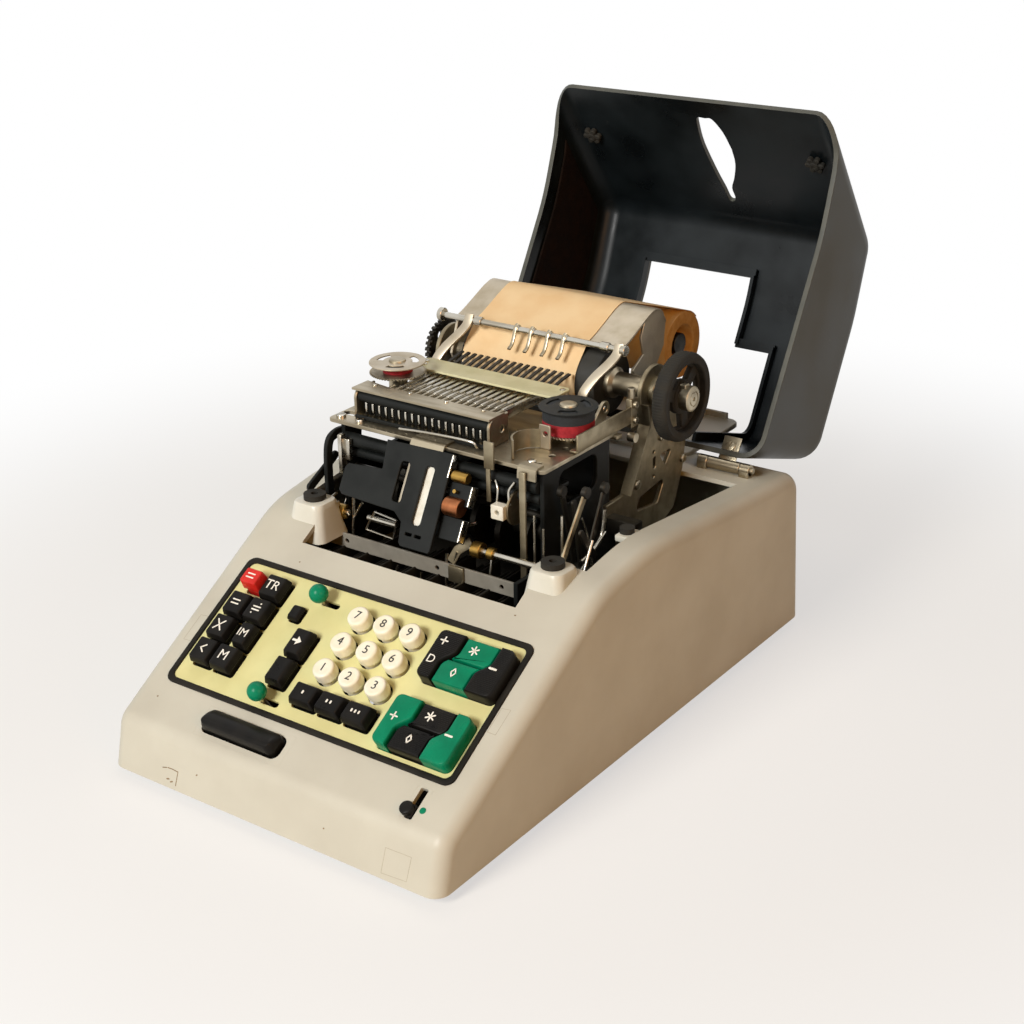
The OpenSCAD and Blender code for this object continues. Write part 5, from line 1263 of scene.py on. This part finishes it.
# %% [markdown]
# ## The works in the well
# Between the two black side plates lie shafts, levers and racks. Most of it is in the dark, and what the eye catches is
# the bright edge of a lever or the shine of a rod. So there are many thin parts, each a plain strap, rod or wire, and
# they are all fixed to the chassis except the cam shaft.

# %% Side plates and cross bar
side = [(186, 2), (311, 2), (311, 96), (256, 96), (256, 160), (186, 160), (186, 100), (158, 100), (158, 80),
    (186, 80)]
window, upper = oblong(46, 36, 8) + (222, 52), oblong(40, 22, 6) + (222, 143)
plates = [along_x(plate([side[::-1], circle(6.4, 32) + (222, 104), window, upper], 3, 0.4), x0) for x0 in (-93, 58)]
dark_fill = [slab((x0, x0 + 1.6), (150, 196), (20, 84 + 3 * (i % 3)), 0.4) for i,
    x0 in enumerate(np.arange(-86, 54, 6.2))]
back_wall = slab((-90, 58), (253, 255), (20, 158), 0.4)
floor_plate = slab((-116, 116), (136, 336), (6, 8), 0.4)
layers = [(joined(*plates), black_enamel), (joined(*dark_fill), dark_steel),
    (joined(back_wall, floor_plate), black_enamel)]
piece("side_plates", layers, "chassis", "dark_enamel", ("side_frames",))

# %% Rods, links and levers
rods = [rod(-90, 58, (194, 128), 2.5), rod(-90, 58, (200, 64), 3.5), rod(-90, 58, (246, 118), 3),
    rod(-90, 58, (252, 84), 3), rod(-93, 61, (315, 149), 3), rod(61, 94, (208, 92), 3.5)]
shafts = [rod(-90, 58, (186, 150), 4.2), rod(-90, 58, (188, 141.5), 3.2)]
spindle = rod(-82, 16, ROLL, 7.7)
arm = along_x(plate([np.vstack([[(399, 108.4), (427, 108.4)], arc(ROLL, 11, -10, 190, 20)])], 3, 0.4), -82)
bar_holes = [circle(1.5, 14) + (x0, 93.6) for x0 in (-70.6, 0.2, 48)]
cross = plate([np.array([(-90, 89), (60, 89), (60, 98.4), (-90, 98.4)]), *bar_holes], 1.8, 0.3)
cross = facing_front(cross, (0, 162, 0))
links = [([(206, 30), (208, 92), (196, 146)], 66), ([(212, 30), (208, 92), (201, 138)], 71),
    ([(222, 30), (208, 92), (226, 140)], 76), ([(160, 84), (178, 116), (200, 147)], 80),
    ([(198, 30), (206, 92), (186, 128)], 86)]
straps = [along_x(plate([strap(smooth(path, 5), 4.2)], 1.6, 0.3), x0) for path, x0 in links]
pivots = [rod(x0 - 0.8, x0 + 2.6, (y0, z0), 3.6, 20) for x0, y0,
    z0 in ((66, 196, 146), (76, 226, 140), (80, 200, 147), (71, 208, 92), (84, 208, 92))]
front_shaft = [rod(20, 84, (168, 109), 2.1), rod(-92, -74, (168, 109), 2.1), rod(-60, -37, (169, 109), 1.9)]
collars = [rod(22.5, 29, (168, 109), 5, 28), rod(33.5, 38, (168, 109), 3.8, 28), rod(-84, -76, (168, 109), 4.6, 28),
    rod(-88, -86, (168, 109), 5.6, 28)]
stirrup = wire([(-61.4, 168, 101), (-57, 168, 108.8), (-53.3, 168, 114.6)],
    0.7), wire([(-53.3, 168, 114.6), (-36.3, 168, 112.8)], 0.7), wire([(-36.3, 168, 112.8), (-39.6, 168, 99.6)],
    0.7), wire([(-39.6, 168, 99.6), (-61.4, 168, 101)], 0.7)
hooks = [wire(path, r) for path, r in (
    ([(-85.7, 170, 119), (-95, 170, 110), (-98, 170, 98), (-99.6, 170, 72)],
        1.0), ([(-65, 170, 117), (-70.5, 170, 108), (-72.3, 169, 102), (-73.5, 168, 70)], 1.0),
    ([(-71.5, 170, 121), (-72.7, 170, 104)], 1.2), ([(59.6, 178, 136), (59.4, 178, 72)],
        0.8), ([(66, 178, 129), (65.8, 178, 70)], 0.8), ([(79, 178, 140), (78.7, 178, 70)], 0.8),
    ([(80, 221, 129), (80, 220, 120), (80, 217, 112), (80, 206, 106), (80, 196, 104)],
        1.5), ([(84, 216, 117), (84, 188, 101), (84, 172, 84)],
        0.7), ([(78, 200, 130), (78, 207, 113), (78, 210, 96)], 0.7),
    ([(36, 168, 109), (36, 164, 90)], 0.9), ([(-44, 184, 166), (-20, 184, 168), (8, 186, 168), (12, 188, 164)],
        0.8), ([(8, 170, 118), (22, 172, 124)], 1.0),
    ([(30, 181, 150), (33, 179, 146), (33, 178, 138)], 0.8), ([(44, 181, 152), (41, 179, 146), (42, 178, 138)],
        0.8), ([(6, 163, 104), (6, 161, 84)], 1.1), ([(-12, 160, 88), (-12, 158, 72)],
        0.9), ([(-30, 160, 88), (-34, 158, 72)], 0.9),
    ([(13, 164, 106), (11, 163, 96), (13, 161, 84)], 0.8), ([(88, 196, 120), (90, 180, 96), (90, 170, 70)],
        1.2), ([(-100, 200, 110), (-102, 190, 90), (-102, 180, 60)], 1.2))]
left_arm = along_x(plate([strap(smooth([(196, 152), (182, 153), (175, 147.5), (173.5, 126), (174, 104)], 6), 6)], 3,
    0.5), -96)
left_lever = along_x(plate([strap(smooth([(184, 137), (177, 133), (160, 124)], 5), 6)], 2, 0.4), -99)
left_bracket = slab((-88, -80), (178, 181), (139, 153), 0.6), slab((-87, -84), (175, 180), (130, 156), 0.6)
tan = [slab((25, 32), (176.6, 178.2), (158, 175), 0.4), slab((26, 29), (177, 178.4), (137, 160), 0.4),
    slab((49.6, 54), (177, 178.8), (58, 161), 0.5), along_x(plate([circle(11, 40) + (186, 134)], 1.6, 0.3), 41),
    slab((10, 21), (158.2, 160), (88.5, 99), 0.4)]
tan.append(swept([(9, 163, 99), (13, 165, 107), (21, 168, 113)], oblong(1.6, 6, 0.5, 3), (0, 1, 0)))
block = plate([oblong(9, 9, 0.8), circle(1.5, 16)], 6, 0.4)
block = facing_front(block, (37, 178, 134))
boxes = [slab((38, 56), (198, 214), (127, 140), 0.8), slab((36, 57), (196, 218), (140, 143), 0.6),
    slab((40, 50), (194, 199), (122, 131), 0.6), slab((-60, -20), (206, 250), (126, 138), 1.0)]
layers = [(joined(*rods, spindle, *straps[:3], *straps[4:], *pivots), dark_steel),
    (joined(*shafts, left_arm, left_lever, *boxes), black_enamel), (arm, steel), (cross, grey_lacquer),
    (joined(*front_shaft, *stirrup, *hooks, *left_bracket), bright_steel), (joined(*collars), brass),
    (joined(straps[3], *tan), tan_steel), (block, strip_white)]
piece("works", layers, "chassis", "plain_steel", ("rods_and_links",))

# %% Ribbon guides on the deck
guide_bar = slab((64.6, 66.2), (214, 276), (163.6, 174.4), 0.4)
guide_post = slab((62, 66.4), (272, 279), (160.5, 179), 0.6), slab((59, 66), (256, 262), (158, 160.6),
    0.4), slab((60, 66), (214, 222), (163, 164.4), 0.4)
bend = smooth([(38, 187), (33, 193), (31.5, 201), (35, 208), (42, 212)], 6)
curl = grid(np.stack([np.c_[bend + side, np.full(len(bend), z)] for side,
    z in ((0.0, 163.0), (0.0, 174.5), (0.9, 174.5), (0.9, 163.0))], axis=1), wrap_v=True)
ends = np.arange(4)
curl = curl[0], curl[1] + [ends[None, ::-1], (ends + len(curl[0]) - 4)[None]]
tab = plate([oblong(8, 15, 1.2), circle(1.7, 18) + (0.5, 2)], 1.4, 0.3)
tab = facing_front(tab, (44, 213, 170))
bolts = [screw((66.2, y0, z0), 2.2, 2.2, (1, 0, 0)) for y0,
    z0 in ((275.5, 175), (275.5, 165))] + [turned([(0, 0), (0, 2.4), (6, 2.4), (6.4, 2), (6.4, 0)], (64, 275.5, 179),
    (0, 0, 1), 20), turned([(0, 0), (0, 3), (5, 3), (5, 0)], (66, 270, 156), (1, 0, 0), 20)]
layers = [(joined(guide_bar, *guide_post, curl), tan_steel), (tab, tin), (joined(*bolts), steel)]
piece("ribbon_guides", layers, "chassis", "plain_steel")

# %% [markdown]
# ## Finishes for the solids that stay
# Nodes whose CAD shape is already right keep it and only get their finish.

# %% Carried-over nodes
for name, material in (("bottom_plate", dark_steel), ("rubber_feet_and_pads", rubber), ("power_inlet", trim_vinyl),
    ("motor", dark_steel), ("cam_shaft", dark_steel)):
    solid = bpy.data.objects[name]
    for holder in solid.material_slots:
        holder.material = material
    print(name, "keeps its shape, finish", material.name)

# %% [markdown]
# ## Light and floor
# A plain studio: one large soft lamp in front, a weak warm one at the right, a weak one above, and a pale floor that
# runs on to a white background. The background's white is for the camera and for mirrors, and it doesn't light the
# object. Near the object the floor is partly an ordinary matt surface, which keeps the shadow. Further out it turns
# into the same white.

# %% Light
def lamp(name, place, aim, size, power, tint):
    light = bpy.data.lights.new(name, "AREA")
    light.shape, light.size, light.energy, light.color = "DISK", size, power, linear(tint)[:3]
    made = bpy.data.objects.new(name, light)
    made.location = place
    made.rotation_euler = (Vector(aim) - made.location).to_track_quat("-Z", "Y").to_euler()
    scene.collection.objects.link(made)


lamp("key_lamp", (-0.15, -2.0, 1.25), (0, 0, 0.1), 0.8, 46, "#fffefb")
lamp("fill_lamp", (1.45, -0.7, 0.75), (0, 0, 0.15), 0.9, 5.0, "#ffaf3c")
lamp("top_lamp", (-0.2, 0.5, 1.9), (0, 0, 0.1), 1.0, 6, "#fffaf2")


def seen(tree):
    """One where the ray comes from the camera, a mirror or a glass, and zero for the light on the object."""
    ray = node(tree, "ShaderNodeLightPath")
    pair = node(tree, "ShaderNodeMath", {0: ray.outputs["Is Camera Ray"], 1: ray.outputs["Is Glossy Ray"]},
        operation="MAXIMUM")
    return node(tree, "ShaderNodeMath", {0: pair.outputs[0], 1: ray.outputs["Is Transmission Ray"]},
        operation="MAXIMUM")


# %% Background and floor
world = bpy.data.worlds.new("studio")
scene.world = world
world.use_nodes = True
tree = world.node_tree
tree.nodes.clear()
ambient = node(tree, "ShaderNodeBackground", {"Color": linear("#ffd090"), "Strength": 0.1})
white = node(tree, "ShaderNodeBackground", {"Color": linear("#ffffff"), "Strength": 1.0})
mixed = node(tree, "ShaderNodeMixShader", {0: seen(tree).outputs[0], 1: ambient.outputs[0], 2: white.outputs[0]})
node(tree, "ShaderNodeOutputWorld", {"Surface": mixed.outputs[0]})
matt = finish("matt_white_floor", ("#ebe5da", "#e6e0d4"), 400, 0.8, 0.05, 2.0, 0.02)
tree = matt.node_tree
place = node(tree, "ShaderNodeTexCoord")
far = node(tree, "ShaderNodeVectorMath", {0: place.outputs["Object"]}, operation="LENGTH")
fade = node(tree, "ShaderNodeMapRange", {0: far.outputs["Value"], 1: 0.3, 2: 0.75, 3: 0.62, 4: 1.0},
    interpolation_type="SMOOTHSTEP")
share = node(tree, "ShaderNodeMath", {0: fade.outputs[0], 1: seen(tree).outputs[0]}, operation="MULTIPLY")
glow = node(tree, "ShaderNodeEmission", {"Color": linear("#ffffff"), "Strength": 1.0})
surface = next(n for n in tree.nodes if n.type == "BSDF_PRINCIPLED")
blended = node(tree, "ShaderNodeMixShader", {0: share.outputs[0], 1: surface.outputs[0], 2: glow.outputs[0]})
tree.links.new(blended.outputs[0], next(n for n in tree.nodes if n.type == "OUTPUT_MATERIAL").inputs["Surface"])
reach = np.linspace(-3, 3, 3)
ground = bpy.data.meshes.new("floor")
field = grid(np.stack([*np.meshgrid(reach, reach, indexing="ij"), np.zeros((3, 3))], axis=-1))
ground.from_pydata(field[0], [], field[1][0].tolist())
ground.materials.append(matt)
floor = bpy.data.objects.new("floor", ground)
scene.collection.objects.link(floor)
